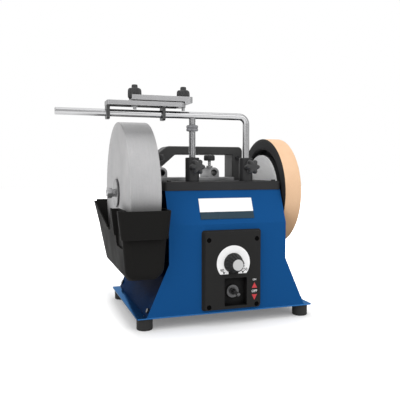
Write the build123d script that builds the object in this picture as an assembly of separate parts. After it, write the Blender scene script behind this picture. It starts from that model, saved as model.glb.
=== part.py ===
from build123d import *
import math
import os

# Wet sharpening machine. Millimetres, +Z up, the operator stands on the -Y side.
# X runs along the spindle: 0 is the outer face of the grindstone, the honing wheel is on the +X side.
# Y is 0 on the spindle axis and Z is 0 on the table. The last lines move everything so that the
# origin lies in the middle of the whole outline, on the table.

# Spindle, grindstone and honing wheel
axis_height = 222.0
shaft_diameter = 12.0
stone_diameter = 250.0
stone_width = 50.0
washer_diameter = 50.0
washer_thickness = 4.0
collar_diameter = 14.0
collar_length = 6.0
nut_across_flats = 18.0
nut_thickness = 9.0
shaft_past_nut = 1.5
wheel_diameter = 200.0
wheel_width = 31.0
leather_thickness = 3.0
wheel_gap = 4.5
groove_outer_diameter = 164.0
groove_depth = 17.0
lining_thickness = 2.0
hub_disc_diameter = 138.0
hub_disc_thickness = 2.5
wheel_web_thickness = 8.0
wheel_boss_diameter = 46.0

# Housing
sheet = 2.0
body_room = 15.5
body_width = 212.0
front_depth = 110.0
rear_depth = 140.0
slope_height = 56.0
body_above_axis = 6.0
slope_run = 24.0
flare_top = 108.0
flare_reach = 38.0
flange_reach = 16.0
foot_height = 20.0
foot_diameter = 27.0
foot_inset_x = 16.0
foot_inset_y = 16.0
vent_slot_count = 7
vent_slot_width = 5.0
vent_slot_length = 60.0
vent_slot_pitch = 14.0
vent_slot_height = 140.0
foot_screw_diameter = 5.0
foot_screw_head = 10.0
foot_head_seat = 9.0
screw_head_height = 3.0
skirt_screw_head = 8.0
skirt_screw_height = 32.0
skirt_screw_inset = 9.0
gland_inset = 44.5
gland_height = 50.0
gland_thread = 16.0
gland_head = 22.0
corner_tab = 18.0
cover_screw_inset = 9.0
cover_screw_diameter = 4.0
cover_screw_head = 8.0

bearing_length = 14.0
bearing_width = 40.0
bearing_below = 26.0
bearing_above = 16.0
bush_diameter = 20.0

# Top cover and handle
cover_height = 15.0
cover_overhang = 1.0
cover_wall = 3.0
cover_corner = 5.0
handle_rear_inset = 24.0
handle_depth = 42.0
handle_left_inset = 2.5
handle_right_inset = 15.5
handle_height = 65.5
handle_thickness = 16.0
handle_post_width = 22.0
handle_left_post = 16.0
handle_shoulder_run = 38.0
handle_shoulder_drop = 29.5
handle_elbow_run = 38.0
handle_elbow_drop = 33.0
handle_corner = 9.0
handle_shoulder_radius = 14.0
handle_edge = 1.5
handle_bolt_length = 18.0
handle_bolt_drop = 6.0
handle_bolt_diameter = 5.0
handle_bolt_head = 8.0

# Control panel
panel_offset = 4.0
panel_bottom = 25.5
panel_width = 108.0
panel_height = 136.5
panel_proud = 8.0
panel_draft_x = 4.5
panel_draft_z = 2.5
panel_wall = 3.0
panel_screw_spacing_x = 86.5
panel_screw_low = 33.0
panel_screw_spacing_z = 113.0
panel_opening_margin = 18.0
panel_screw_head = 7.4
dial_outer_diameter = 60.0
dial_inner_diameter = 34.5
dial_height = 106.0
dial_thickness = 0.6
dial_cut_drop = 18.3
dial_gap = 18.0
knob_base_diameter = 33.5
knob_top_diameter = 23.0
knob_height = 19.5
knob_cap_diameter = 18.6
recess_offset = 4.7
recess_width = 41.0
recess_bottom = 32.5
recess_height = 48.0
recess_wall = 1.5
recess_depth = 13.0
recess_floor = 2.0
toggle_offset = 3.2
toggle_height = 55.5
toggle_ring_diameter = 22.0
toggle_lever_length = 27.0
toggle_lever_diameter = 4.5
toggle_tip_diameter = 6.5
toggle_neck_diameter = 12.0
toggle_neck_length = 6.0
toggle_bore_diameter = 8.5
toggle_ring_thickness = 3.0
toggle_body_width = 22.0
toggle_body_height = 28.0
toggle_body_depth = 20.0
toggle_pivot_inset = 0.5
knob_flute_count = 16
knob_flute_diameter = 2.4
knob_skirt = 4.0
pot_spindle_diameter = 6.0
pot_neck_diameter = 9.0
pot_body_diameter = 24.0
pot_body_depth = 11.0
pot_spindle_grip = 14.0
board_center_z = 117.0
board_width = 68.0
board_height = 50.0
board_y = -88.0
plate_offset = -1.5
name_plate_width = 97.0
name_plate_height = 24.5
strip_low = 8.8
strip_height = 12.7
name_plate_thickness = 0.8

# Upright tool support and its sleeves
rod_diameter = 12.0
support_inset = 16.0
left_leg_inset = 52.5
leg_spacing = 100.0
bar_rise = 113.0
bar_left_end = -109.5
bend_radius = 13.0
leg_below_cover = 39.0
sleeve_diameter = 24.0
sleeve_height = 41.0
sleeve_tail_diameter = 18.0
sleeve_tail_length = 34.0
adjuster_diameter = 20.0
adjuster_drop = 27.0
adjuster_thickness = 10.0
adjuster_chamfer = 1.2
clamp_rise = 25.0
star_knob_diameter = 27.0
star_knob_thickness = 14.0
star_knob_lobes = 6
star_knob_reach = 38.0
clamp_stud_diameter = 8.0
clamp_boss_diameter = 16.0
clamp_boss_reach = 19.0
sleeve_nut_diameter = 24.0
sleeve_nut_thickness = 6.0

# Level sleeves for using the support lying down
rack_inset = 1.0
rack_length = 152.5
rack_front = -16.0
rack_depth = 63.0
rack_plate = 6.0
level_bore_inset = 14.0
level_bore_rise = 14.5
level_sleeve_width = 20.0
level_sleeve_setback = 6.0
level_sleeve_length = 52.0
level_knob_diameter = 22.0
level_knob_thickness = 11.0
level_knob_rise = 37.0
level_stud_diameter = 6.0
level_boss_diameter = 12.0

# Straight edge jig on the support
jig_left = -29.0
jig_length = 133.0
jig_depth = 34.0
jig_plate_rise = 12.0
jig_plate_thickness = 7.2
jig_left_corner = 3.0
jig_right_corner = 12.0
jig_wall = 2.5
jig_skin = 2.7
jig_boss_diameter = 12.0
jig_end_room = 10.0
jig_ear_thickness = 5.0
jig_ear_depth = 21.0
jig_ear_drop = 10.5
jig_ear_spacing = 92.5
clamp_left_inset = 40.5
clamp_gap = 2.0
clamp_thickness = 8.3
clamp_wall = 1.6
clamp_end_wall = 2.0
clamp_web = 2.6
clamp_room = 0.9
clamp_corner = 8.0
clamp_lip_drop = 5.0
clamp_lip_thickness = 20.0
clamp_lip_room = 0.6
clamp_lip_bevel = 12.0
jig_stud_inset = 7.0
jig_stud_spacing = 83.5
jig_stud_diameter = 6.0
jig_stud_clear = 0.8
jig_knob_diameter = 23.0
jig_knob_thickness = 17.1
jig_knob_height = 17.5
jig_knob_crown_diameter = 10.3

# Water trough
trough_outward = 22.5
trough_inward = 12.5
trough_front_room = 20.0
trough_rear_room = 27.0
trough_rim_drop = 22.5
trough_pocket_depth = 44.5
trough_floor_room = 13.0
trough_wall = 2.5
trough_draft = 5.0
trough_right_draft = 8.0
trough_corner = 12.0
well_corner = 12.0
bow_rise = 10.0
bow_fall = 0.4
bow_side_room = 1.0
bow_left_draft = 5.2
bow_right_draft = 5.0
bow_left_corner = 14.0
bow_right_corner = 20.0
grip_depth = 12.0
grip_front_room = 18.0
grip_length = 58.0
grip_height = 61.0
grip_corner = 8.0
rear_lip_rise = 3.5
rear_lip_inset = 5.5
rear_lip_room = 8.0
notch_clear = 8.0
well_front_room = 11.0
well_outward = 15.0
well_inward = 7.5
well_floor_rise = 12.0
pocket_length = 87.0
notch_drop = 66.0
notch_front_run = 18.0
notch_front_rise = 5.0
notch_rear_run = 22.0
notch_rear_rise = 4.0
notch_end_inset = 6.0
hanger_spacing = 120.0
hanger_drop = 13.5
hanger_pin_diameter = 6.0
hanger_head_diameter = 10.0
hanger_lift = 8.0
hanger_head_inset = 11.0
hanger_head_thickness = 2.0

# Motor
motor_diameter = 84.0
motor_inset = 54.5
motor_length = 112.0
motor_bell_length = 14.0
motor_wall = 2.5
drive_shaft_diameter = 9.0
rotor_diameter = 50.0
rotor_length = 60.0
stator_bore = 51.2
roller_reach = 12.0
cradle_width = 96.0
cradle_plate = 5.0
cradle_end_gap = 4.0
cradle_screw_inset = 8.0
strap_width = 14.0
strap_thickness = 2.0

# Fits
running_fit = 0.05
sliding_fit = 0.04
seat_fit = 0.03
thread_fit = 0.05
rub_gap = 0.3
shaft_clearance = 5.0
hole_slack = 0.5

nodes = {}


def box_between(x0, x1, y0, y1, z0, z1):
    return Pos((x0 + x1) / 2, (y0 + y1) / 2, (z0 + z1) / 2) * Box(x1 - x0, y1 - y0, z1 - z0)


def rod_x(diameter, x0, x1, y, z):
    return Pos((x0 + x1) / 2, y, z) * Rot(0, 90, 0) * Cylinder(diameter / 2, x1 - x0)


def rod_y(diameter, y0, y1, x, z):
    return Pos(x, (y0 + y1) / 2, z) * Rot(90, 0, 0) * Cylinder(diameter / 2, y1 - y0)


def rod_z(diameter, z0, z1, x, y):
    return Pos(x, y, (z0 + z1) / 2) * Cylinder(diameter / 2, z1 - z0)


def prism_x(points, x0, x1):
    """Solid with the outline points (y, z), from x0 to x1."""
    face = Plane.YZ * make_face(Polyline(*points, close=True))
    return Pos(x0, 0, 0) * extrude(face, x1 - x0)


def prism_y(points, y0, y1):
    """Solid with the outline points (x, z), from y0 to y1."""
    face = Plane.XZ * make_face(Polyline(*points, close=True))
    return Pos(0, y1, 0) * extrude(face, y1 - y0)


def turned_x(points, y, z):
    """Solid of revolution about a line along X through (y, z), from points (x, radius)."""
    face = Plane.XZ * make_face(Polyline(*points, close=True))
    return Pos(0, y, z) * revolve(face, Axis.X)


def ring_x(outer, inner, x0, x1, y, z):
    return rod_x(outer, x0, x1, y, z) - rod_x(inner, x0 - 1, x1 + 1, y, z)


def hex_x(across_flats, x0, x1, y, z):
    face = Plane.YZ * RegularPolygon(across_flats / 2, 6, major_radius=False)
    return Pos(x0, y, z) * extrude(face, x1 - x0)


def lobed_knob(diameter, thickness, lobes, grip_share=0.2):
    """Star knob about Z with its underside on Z = 0."""
    radius = diameter / 2
    lobe_radius = radius * grip_share
    body = Pos(0, 0, thickness / 2) * Cylinder(radius - lobe_radius, thickness)
    for turn in range(lobes):
        angle = 2 * math.pi * turn / lobes
        reach = radius - lobe_radius
        lobe = Pos(reach * math.cos(angle), reach * math.sin(angle), thickness / 2)
        body += lobe * Cylinder(lobe_radius, thickness)
    crown = Pos(0, 0, thickness * 0.5) * Cone(radius * 1.45, radius * 0.72, thickness)
    return body & crown


def moved_in(points, distance):
    """The outline with each of its straight sides moved inwards by distance."""
    count = len(points)
    area = sum(points[i - 1][0] * points[i][1] - points[i][0] * points[i - 1][1] for i in range(count))
    side = math.copysign(distance, area)
    lines = []
    for i in range(count):
        (u0, v0), (u1, v1) = points[i], points[(i + 1) % count]
        length = math.hypot(u1 - u0, v1 - v0)
        normal = (-(v1 - v0) / length, (u1 - u0) / length)
        lines.append((normal, normal[0] * u0 + normal[1] * v0 + side))
    moved = []
    for i in range(count):
        (a, b), c = lines[i - 1]
        (d, e), f = lines[i]
        scale = a * e - b * d
        moved.append(((c * e - b * f) / scale, (a * f - c * d) / scale))
    return moved


def group(pieces):
    return Compound(children=list(pieces))


# Derived places
stone_radius = stone_diameter / 2
body_left = stone_width + body_room
body_right = body_left + body_width
body_center_x = (body_left + body_right) / 2
body_top = axis_height + body_above_axis
slope_foot_height = body_top - slope_height
front_y = -front_depth
rear_y = rear_depth
top_front_y = front_y + slope_run
top_rear_y = rear_y - slope_run
base_top = foot_height + sheet
cover_top = body_top + cover_height
gland_x = body_left + gland_inset
handle_left = body_left + handle_left_inset
handle_right = body_right - handle_right_inset
handle_front = top_rear_y - handle_rear_inset - handle_depth
handle_top = cover_top + handle_height
handle_shoulder_x = handle_left + handle_shoulder_run
handle_elbow_x = handle_left + handle_left_post + handle_elbow_run
panel_center_x = body_center_x + panel_offset
recess_center_x = panel_center_x + recess_offset
toggle_x = panel_center_x + toggle_offset
plate_center_x = body_center_x + plate_offset
support_y = top_front_y + support_inset
left_leg_x = body_left + left_leg_inset
bar_height = cover_top + bar_rise
leg_bottom = cover_top - leg_below_cover
adjuster_bottom = bar_height - adjuster_drop
clamp_height = cover_top + clamp_rise
star_knob_front = support_y - star_knob_reach
clamp_boss_front = support_y - clamp_boss_reach
rack_left = body_left + rack_inset
rack_right = rack_left + rack_length
rack_rear = rack_front + rack_depth
level_bore_height = cover_top + level_bore_rise
level_sleeve_front = rack_front + level_sleeve_setback
level_knob_bottom = cover_top + level_knob_rise
jig_plate_bottom = bar_height + jig_plate_rise
jig_ear_bottom = bar_height - jig_ear_drop
jig_second_ear_x = jig_left + jig_ear_spacing
clamp_left = jig_left + clamp_left_inset
jig_stud_left = clamp_left + jig_stud_inset
jig_stud_right = jig_stud_left + jig_stud_spacing
clamp_right = jig_stud_right + jig_knob_diameter / 2 + clamp_room + clamp_end_wall
clamp_depth = jig_knob_diameter + 2 * (clamp_room + clamp_wall)
jig_stud_bottom = bar_height + rod_diameter / 2 + jig_stud_clear
trough_left = -trough_outward
trough_right = stone_width + trough_inward
trough_front = -stone_radius - trough_front_room
trough_rear = stone_radius + trough_rear_room
trough_top = axis_height - trough_rim_drop
trough_step_height = trough_top - trough_pocket_depth
trough_bottom = axis_height - stone_radius - trough_floor_room
notch_inner_x = -notch_clear
notch_bottom = axis_height - notch_drop
well_front = -stone_radius - well_front_room
well_left = -well_outward
well_right = stone_width + well_inward
pocket_rear = trough_front + pocket_length
hanger_height = trough_top - hanger_drop
hanger_head_left = body_left - hanger_head_inset
motor_left = body_left + motor_inset
wheel_left = body_right + wheel_gap
wheel_right = wheel_left + wheel_width
wheel_radius = wheel_diameter / 2 - leather_thickness
lining_bore = groove_outer_diameter - 2 * lining_thickness
roller_drop = lining_bore / 2 - drive_shaft_diameter / 2 - rub_gap
motor_height = axis_height - roller_drop
right_leg_x = left_leg_x + leg_spacing
motor_right = motor_left + motor_length
foot_screw_hole = foot_screw_diameter + 2 * seat_fit
cover_screw_hole = cover_screw_diameter + 2 * seat_fit
foot_half_x = body_width / 2 + flare_reach + flange_reach - foot_inset_x
foot_places = [
    (body_center_x + side * foot_half_x, y)
    for side in (-1, 1)
    for y in (front_y + foot_inset_y, rear_y - foot_inset_y)
]
level_places = (body_left + level_bore_inset, body_left + level_bore_inset + leg_spacing)
hanger_places = (-hanger_spacing / 2, hanger_spacing / 2)
cradle_center_x = (motor_left + motor_right) / 2
cradle_half = motor_length / 2 - motor_bell_length - cradle_end_gap
cradle_screw_places = [
    (
        cradle_center_x + side_x * (cradle_half - strap_width - cradle_screw_inset),
        side_y * (cradle_width / 2 - cradle_screw_inset),
    )
    for side_x in (-1, 1)
    for side_y in (-1, 1)
]
panel_face_y = front_y - panel_proud
pot_front = panel_face_y + panel_wall
toggle_pivot_y = panel_face_y + recess_depth - toggle_pivot_inset
handle_bolt_places = (
    (handle_right - handle_post_width / 2, handle_top - handle_thickness - handle_bolt_drop),
    (handle_left + handle_left_post / 2, handle_top - handle_thickness - handle_elbow_drop),
)
corner_places = [
    (side_x, side_y)
    for side_x in (body_left + cover_screw_inset, body_right - cover_screw_inset)
    for side_y in (top_front_y + cover_screw_inset, top_rear_y - cover_screw_inset)
]


def spindle():
    shaft_bore = shaft_diameter + 2 * seat_fit
    left_end = -washer_thickness - collar_length - nut_thickness - shaft_past_nut
    right_end = wheel_right + washer_thickness + nut_thickness + shaft_past_nut
    bore_cut = rod_x(shaft_bore, left_end - 5, right_end + 5, 0, axis_height)
    shaft = rod_x(shaft_diameter, left_end, right_end, 0, axis_height)
    nodes["main_shaft"] = chamfer(shaft.edges().filter_by(GeomType.CIRCLE), 1.0)

    stone = rod_x(stone_diameter, 0, stone_width, 0, axis_height)
    stone = fillet(stone.edges().filter_by(GeomType.CIRCLE), 1.5)
    nodes["grindstone"] = stone - bore_cut
    washers = []
    for start in (-washer_thickness, stone_width, wheel_right):
        washer = rod_x(washer_diameter, start, start + washer_thickness, 0, axis_height)
        washers.append(chamfer(washer.edges().filter_by(GeomType.CIRCLE), 0.8) - bore_cut)
    nodes["clamp_washers"] = group(washers)
    collar_start = -washer_thickness - collar_length
    collar = rod_x(collar_diameter, collar_start, -washer_thickness, 0, axis_height)
    nodes["stone_collar"] = collar - bore_cut
    nuts = []
    for nut_start in (collar_start - nut_thickness, wheel_right + washer_thickness):
        nut_end = nut_start + nut_thickness
        round_off = rod_x(nut_across_flats * 1.16, nut_start, nut_end, 0, axis_height)
        round_off = chamfer(round_off.edges().filter_by(GeomType.CIRCLE), 1.2)
        nuts.append((hex_x(nut_across_flats, nut_start, nut_end, 0, axis_height) & round_off) - bore_cut)
    nodes["spindle_nuts"] = group(nuts)

    web_start = wheel_left + groove_depth
    wheel = turned_x(
        [
            (wheel_left, shaft_bore / 2),
            (wheel_left, hub_disc_diameter / 2),
            (web_start, hub_disc_diameter / 2),
            (web_start, groove_outer_diameter / 2),
            (wheel_left, groove_outer_diameter / 2),
            (wheel_left, wheel_radius),
            (wheel_right, wheel_radius),
            (wheel_right, wheel_radius - 12),
            (web_start + wheel_web_thickness, wheel_radius - 15),
            (web_start + wheel_web_thickness, wheel_boss_diameter / 2 + 2),
            (wheel_right, wheel_boss_diameter / 2),
            (wheel_right, shaft_bore / 2),
        ],
        0,
        axis_height,
    )
    nodes["honing_wheel"] = wheel
    band = ring_x(wheel_diameter, 2 * wheel_radius, wheel_left, wheel_right, 0, axis_height)
    nodes["leather_band"] = band
    lining = ring_x(groove_outer_diameter, lining_bore, wheel_left + 1, web_start, 0, axis_height)
    nodes["drive_lining"] = lining
    disc = rod_x(hub_disc_diameter, wheel_left - hub_disc_thickness, wheel_left, 0, axis_height)
    nodes["hub_disc"] = disc - bore_cut


def front_outline(inset, bottom, top):
    """Outline (x, z) of the body from the front, walls moved inwards by inset."""
    foot_half = body_width / 2 + flare_reach - inset
    side_half = body_width / 2 - inset
    return [
        (body_center_x - foot_half, bottom),
        (body_center_x + foot_half, bottom),
        (body_center_x + side_half, flare_top),
        (body_center_x + side_half, top),
        (body_center_x - side_half, top),
        (body_center_x - side_half, flare_top),
    ]


def side_outline(inset, bottom, top):
    """Outline (y, z) of the body from the side, walls moved inwards by inset."""
    return [
        (front_y + inset, bottom),
        (rear_y - inset, bottom),
        (rear_y - inset, slope_foot_height),
        (top_rear_y - inset, top),
        (top_front_y + inset, top),
        (front_y + inset, slope_foot_height),
    ]


def housing():
    wide = body_width + 4 * flare_reach
    outer = prism_y(front_outline(0, base_top, body_top), front_y - 5, rear_y + 5)
    outer &= prism_x(side_outline(0, base_top, body_top), body_center_x - wide, body_center_x + wide)
    inner = prism_y(front_outline(sheet, base_top, body_top), front_y - 5, rear_y + 5)
    inner &= prism_x(side_outline(sheet, base_top, body_top), body_center_x - wide, body_center_x + wide)
    shell = outer - inner
    shaft_slot = shaft_diameter + 2 * shaft_clearance
    slot_half = shaft_slot / 2
    for side_x in (body_left, body_right):
        cut_left = side_x - 2 * sheet
        cut_right = side_x + 2 * sheet
        shell -= rod_x(shaft_slot, cut_left, cut_right, 0, axis_height)
        shell -= box_between(cut_left, cut_right, -slot_half, slot_half, axis_height, body_top + 1)
    shell -= rod_x(drive_shaft_diameter + 7, body_right - 2 * sheet, body_right + sheet, 0, motor_height)
    opening_half = panel_width / 2 - panel_opening_margin
    shell -= box_between(
        panel_center_x - opening_half,
        panel_center_x + opening_half,
        front_y - sheet,
        front_y + 2 * sheet,
        recess_bottom - recess_wall - hole_slack,
        panel_bottom + panel_height - 14,
    )
    for number in range(vent_slot_count):
        slot_x = body_center_x + (number - (vent_slot_count - 1) / 2) * vent_slot_pitch
        shell -= box_between(
            slot_x - vent_slot_width / 2,
            slot_x + vent_slot_width / 2,
            rear_y - 2 * sheet,
            rear_y + sheet,
            vent_slot_height - vent_slot_length / 2,
            vent_slot_height + vent_slot_length / 2,
        )
    shell -= rod_y(gland_thread + 2 * seat_fit, rear_y - 2 * sheet, rear_y + sheet, gland_x, gland_height)
    for hang_y in hanger_places:
        pin_hole = hanger_pin_diameter + 2 * seat_fit
        shell -= rod_x(pin_hole, body_left - sheet, body_left + 2 * sheet, hang_y, hanger_height)
    for x, y in corner_places:
        tab = Pos(x, y, body_top - sheet / 2) * Box(corner_tab, corner_tab, sheet)
        shell += tab & outer
    for x, y in corner_places:
        shell -= rod_z(cover_screw_hole, body_top - 5 * sheet, body_top + sheet, x, y)

    plate_left = body_left - flare_reach - flange_reach
    plate_right = body_right + flare_reach + flange_reach
    plate = box_between(plate_left, plate_right, front_y, rear_y, foot_height, base_top)
    plate = fillet(plate.edges().filter_by(Axis.Z), 4.0)
    for x, y in foot_places:
        plate -= rod_z(foot_screw_hole, foot_height - 1, base_top + 1, x, y)
    for x, y in cradle_screw_places:
        plate -= rod_z(foot_screw_hole, foot_height - 1, base_top + 1, x, y)
    nodes["base_plate"] = plate

    feet = []
    screws = []
    for x, y in foot_places:
        foot = rod_z(foot_diameter, 0, foot_height, x, y)
        foot = fillet(foot.edges().filter_by(GeomType.CIRCLE).sort_by(Axis.Z)[0], 2.0)
        foot -= rod_z(foot_screw_hole, -1, foot_height + 1, x, y)
        foot -= rod_z(foot_screw_head + 1, -1, foot_head_seat, x, y)
        feet.append(foot)
        screw = rod_z(foot_screw_diameter, foot_head_seat, base_top, x, y)
        head_bottom = foot_head_seat - screw_head_height
        screws.append(screw + rod_z(foot_screw_head, head_bottom, foot_head_seat, x, y))
    nodes["rubber_feet"] = group(feet)
    nodes["foot_screws"] = group(screws)

    skirt_screws = []
    flare_slope = math.atan2(flare_reach, flare_top - base_top)
    for side in (-1, 1):
        out = body_width / 2 + flare_reach * (flare_top - skirt_screw_height) / (flare_top - base_top)
        outward = (side * math.cos(flare_slope), 0, math.sin(flare_slope))
        for y in (front_y + skirt_screw_inset, rear_y - skirt_screw_inset):
            place = (body_center_x + side * out, y, skirt_screw_height)
            seat = Plane(place, x_dir=(0, 1, 0), z_dir=outward)
            head = seat * Pos(0, 0, 1.25) * Cylinder(skirt_screw_head / 2, 2.5)
            skirt_screws.append(head + seat * Pos(0, 0, -3) * Cylinder(cover_screw_diameter / 2, 6))
            shell -= seat * Pos(0, 0, -2) * Cylinder(cover_screw_hole / 2, 10)
    nodes["skirt_screws"] = group(skirt_screws)
    nodes["housing_shell"] = shell

    pins = []
    for hang_y in hanger_places:
        pin = rod_x(hanger_pin_diameter, hanger_head_left, body_left + sheet, hang_y, hanger_height)
        head_right = hanger_head_left + hanger_head_thickness
        pin += rod_x(hanger_head_diameter, hanger_head_left, head_right, hang_y, hanger_height)
        pin += rod_x(hanger_head_diameter, body_left + sheet, body_left + sheet + 3, hang_y, hanger_height)
        pins.append(pin)
    nodes["trough_pins"] = group(pins)

    gland = rod_y(gland_thread, rear_y - 8, rear_y, gland_x, gland_height)
    gland += rod_y(gland_head, rear_y, rear_y + 8, gland_x, gland_height)
    gland += rod_y(gland_head + 4, rear_y - 8, rear_y - sheet, gland_x, gland_height)
    nodes["cable_gland"] = gland - rod_y(7.0, rear_y - 10, rear_y + 10, gland_x, gland_height)


def cover():
    left = body_left - cover_overhang
    right = body_right + cover_overhang
    front = top_front_y - cover_overhang
    rear = top_rear_y + cover_overhang
    lid = box_between(left, right, front, rear, body_top, cover_top)
    lid = fillet(lid.edges().filter_by(Axis.Z), cover_corner)
    lid = fillet(lid.faces().sort_by(Axis.Z)[-1].edges(), 1.5)
    lid -= box_between(
        left + cover_wall,
        right - cover_wall,
        front + cover_wall,
        rear - cover_wall,
        body_top - 1,
        cover_top - cover_wall,
    )
    for x, y in corner_places:
        boss = rod_z(cover_screw_head + 2, body_top, cover_top - cover_wall, x, y)
        lid += boss
    for x, y in corner_places:
        lid -= rod_z(cover_screw_hole, body_top - 1, cover_top + 1, x, y)
    slot = shaft_diameter + 2 * shaft_clearance
    lid -= rod_x(slot, left - 1, left + cover_wall + 1, 0, axis_height)
    lid -= rod_x(slot, right - cover_wall - 1, right + 1, 0, axis_height)
    for x in (left_leg_x, right_leg_x):
        lid -= rod_z(sleeve_tail_diameter + hole_slack, body_top - 1, cover_top + 1, x, support_y)
    nodes["top_cover"] = lid

    screws = []
    for x, y in corner_places:
        screw = rod_z(cover_screw_diameter, body_top - 3 * sheet, cover_top, x, y)
        head = rod_z(cover_screw_head, cover_top, cover_top + 2.5, x, y)
        head = fillet(head.edges().filter_by(GeomType.CIRCLE).sort_by(Axis.Z)[-1], 1.0)
        screws.append(screw + head)
    nodes["cover_screws"] = group(screws)

    blocks = []
    bushes = []
    for start, end in (
        (body_left + sheet, body_left + sheet + bearing_length),
        (body_right - sheet, body_right - sheet - bearing_length),
    ):
        clear_start = start + math.copysign(cover_wall - sheet + 2 * seat_fit, end - start)
        low = axis_height - bearing_below
        seat = sorted((start, end))
        tower = sorted((clear_start, end))
        half = bearing_width / 2
        block = box_between(seat[0], seat[1], -half, half, low, axis_height - bush_diameter / 2 - 2)
        block += box_between(tower[0], tower[1], -half, half, low, axis_height + bearing_above)
        block -= rod_x(bush_diameter + 2 * seat_fit, seat[0] - 1, seat[1] + 1, 0, axis_height)
        blocks.append(block)
        bush = rod_x(bush_diameter, tower[0], tower[1], 0, axis_height)
        bush -= rod_x(shaft_diameter + 2 * running_fit, seat[0] - 1, seat[1] + 1, 0, axis_height)
        bushes.append(bush)
    nodes["bearing_blocks"] = group(blocks)
    nodes["bearing_bushes"] = group(bushes)


def handle():
    bar_bottom = handle_top - handle_thickness
    outline = [
        (handle_left, cover_top),
        (handle_left, handle_top - handle_shoulder_drop),
        (handle_shoulder_x, handle_top),
        (handle_right, handle_top),
        (handle_right, cover_top),
        (handle_right - handle_post_width, cover_top),
        (handle_right - handle_post_width, bar_bottom),
        (handle_elbow_x, bar_bottom),
        (handle_left + handle_left_post, bar_bottom - handle_elbow_drop),
        (handle_left + handle_left_post, cover_top),
    ]
    body = prism_y(outline, handle_front, handle_front + handle_depth)
    top_corner = body.edges().filter_by(Axis.Y).sort_by(Axis.Z)[-2:].sort_by(Axis.X)
    body = fillet(top_corner[-1], handle_corner)
    shoulder = body.edges().filter_by(Axis.Y).sort_by(Axis.Z)[-2:].sort_by(Axis.X)
    body = fillet(shoulder[0], handle_shoulder_radius)
    body = chamfer(body.faces().sort_by(Axis.Y)[0].edges().filter_by(Axis.Y, reverse=True), handle_edge)
    bolts = []
    for x, z in handle_bolt_places:
        bolt_hole = handle_bolt_diameter + 2 * seat_fit
        body -= rod_y(bolt_hole, handle_front - 1, handle_front + handle_bolt_length + hole_slack, x, z)
        bolt = rod_y(handle_bolt_diameter, handle_front, handle_front + handle_bolt_length, x, z)
        bolts.append(bolt + rod_y(handle_bolt_head, handle_front - screw_head_height, handle_front, x, z))
    nodes["carry_handle"] = body
    nodes["handle_bolts"] = group(bolts)


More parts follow.
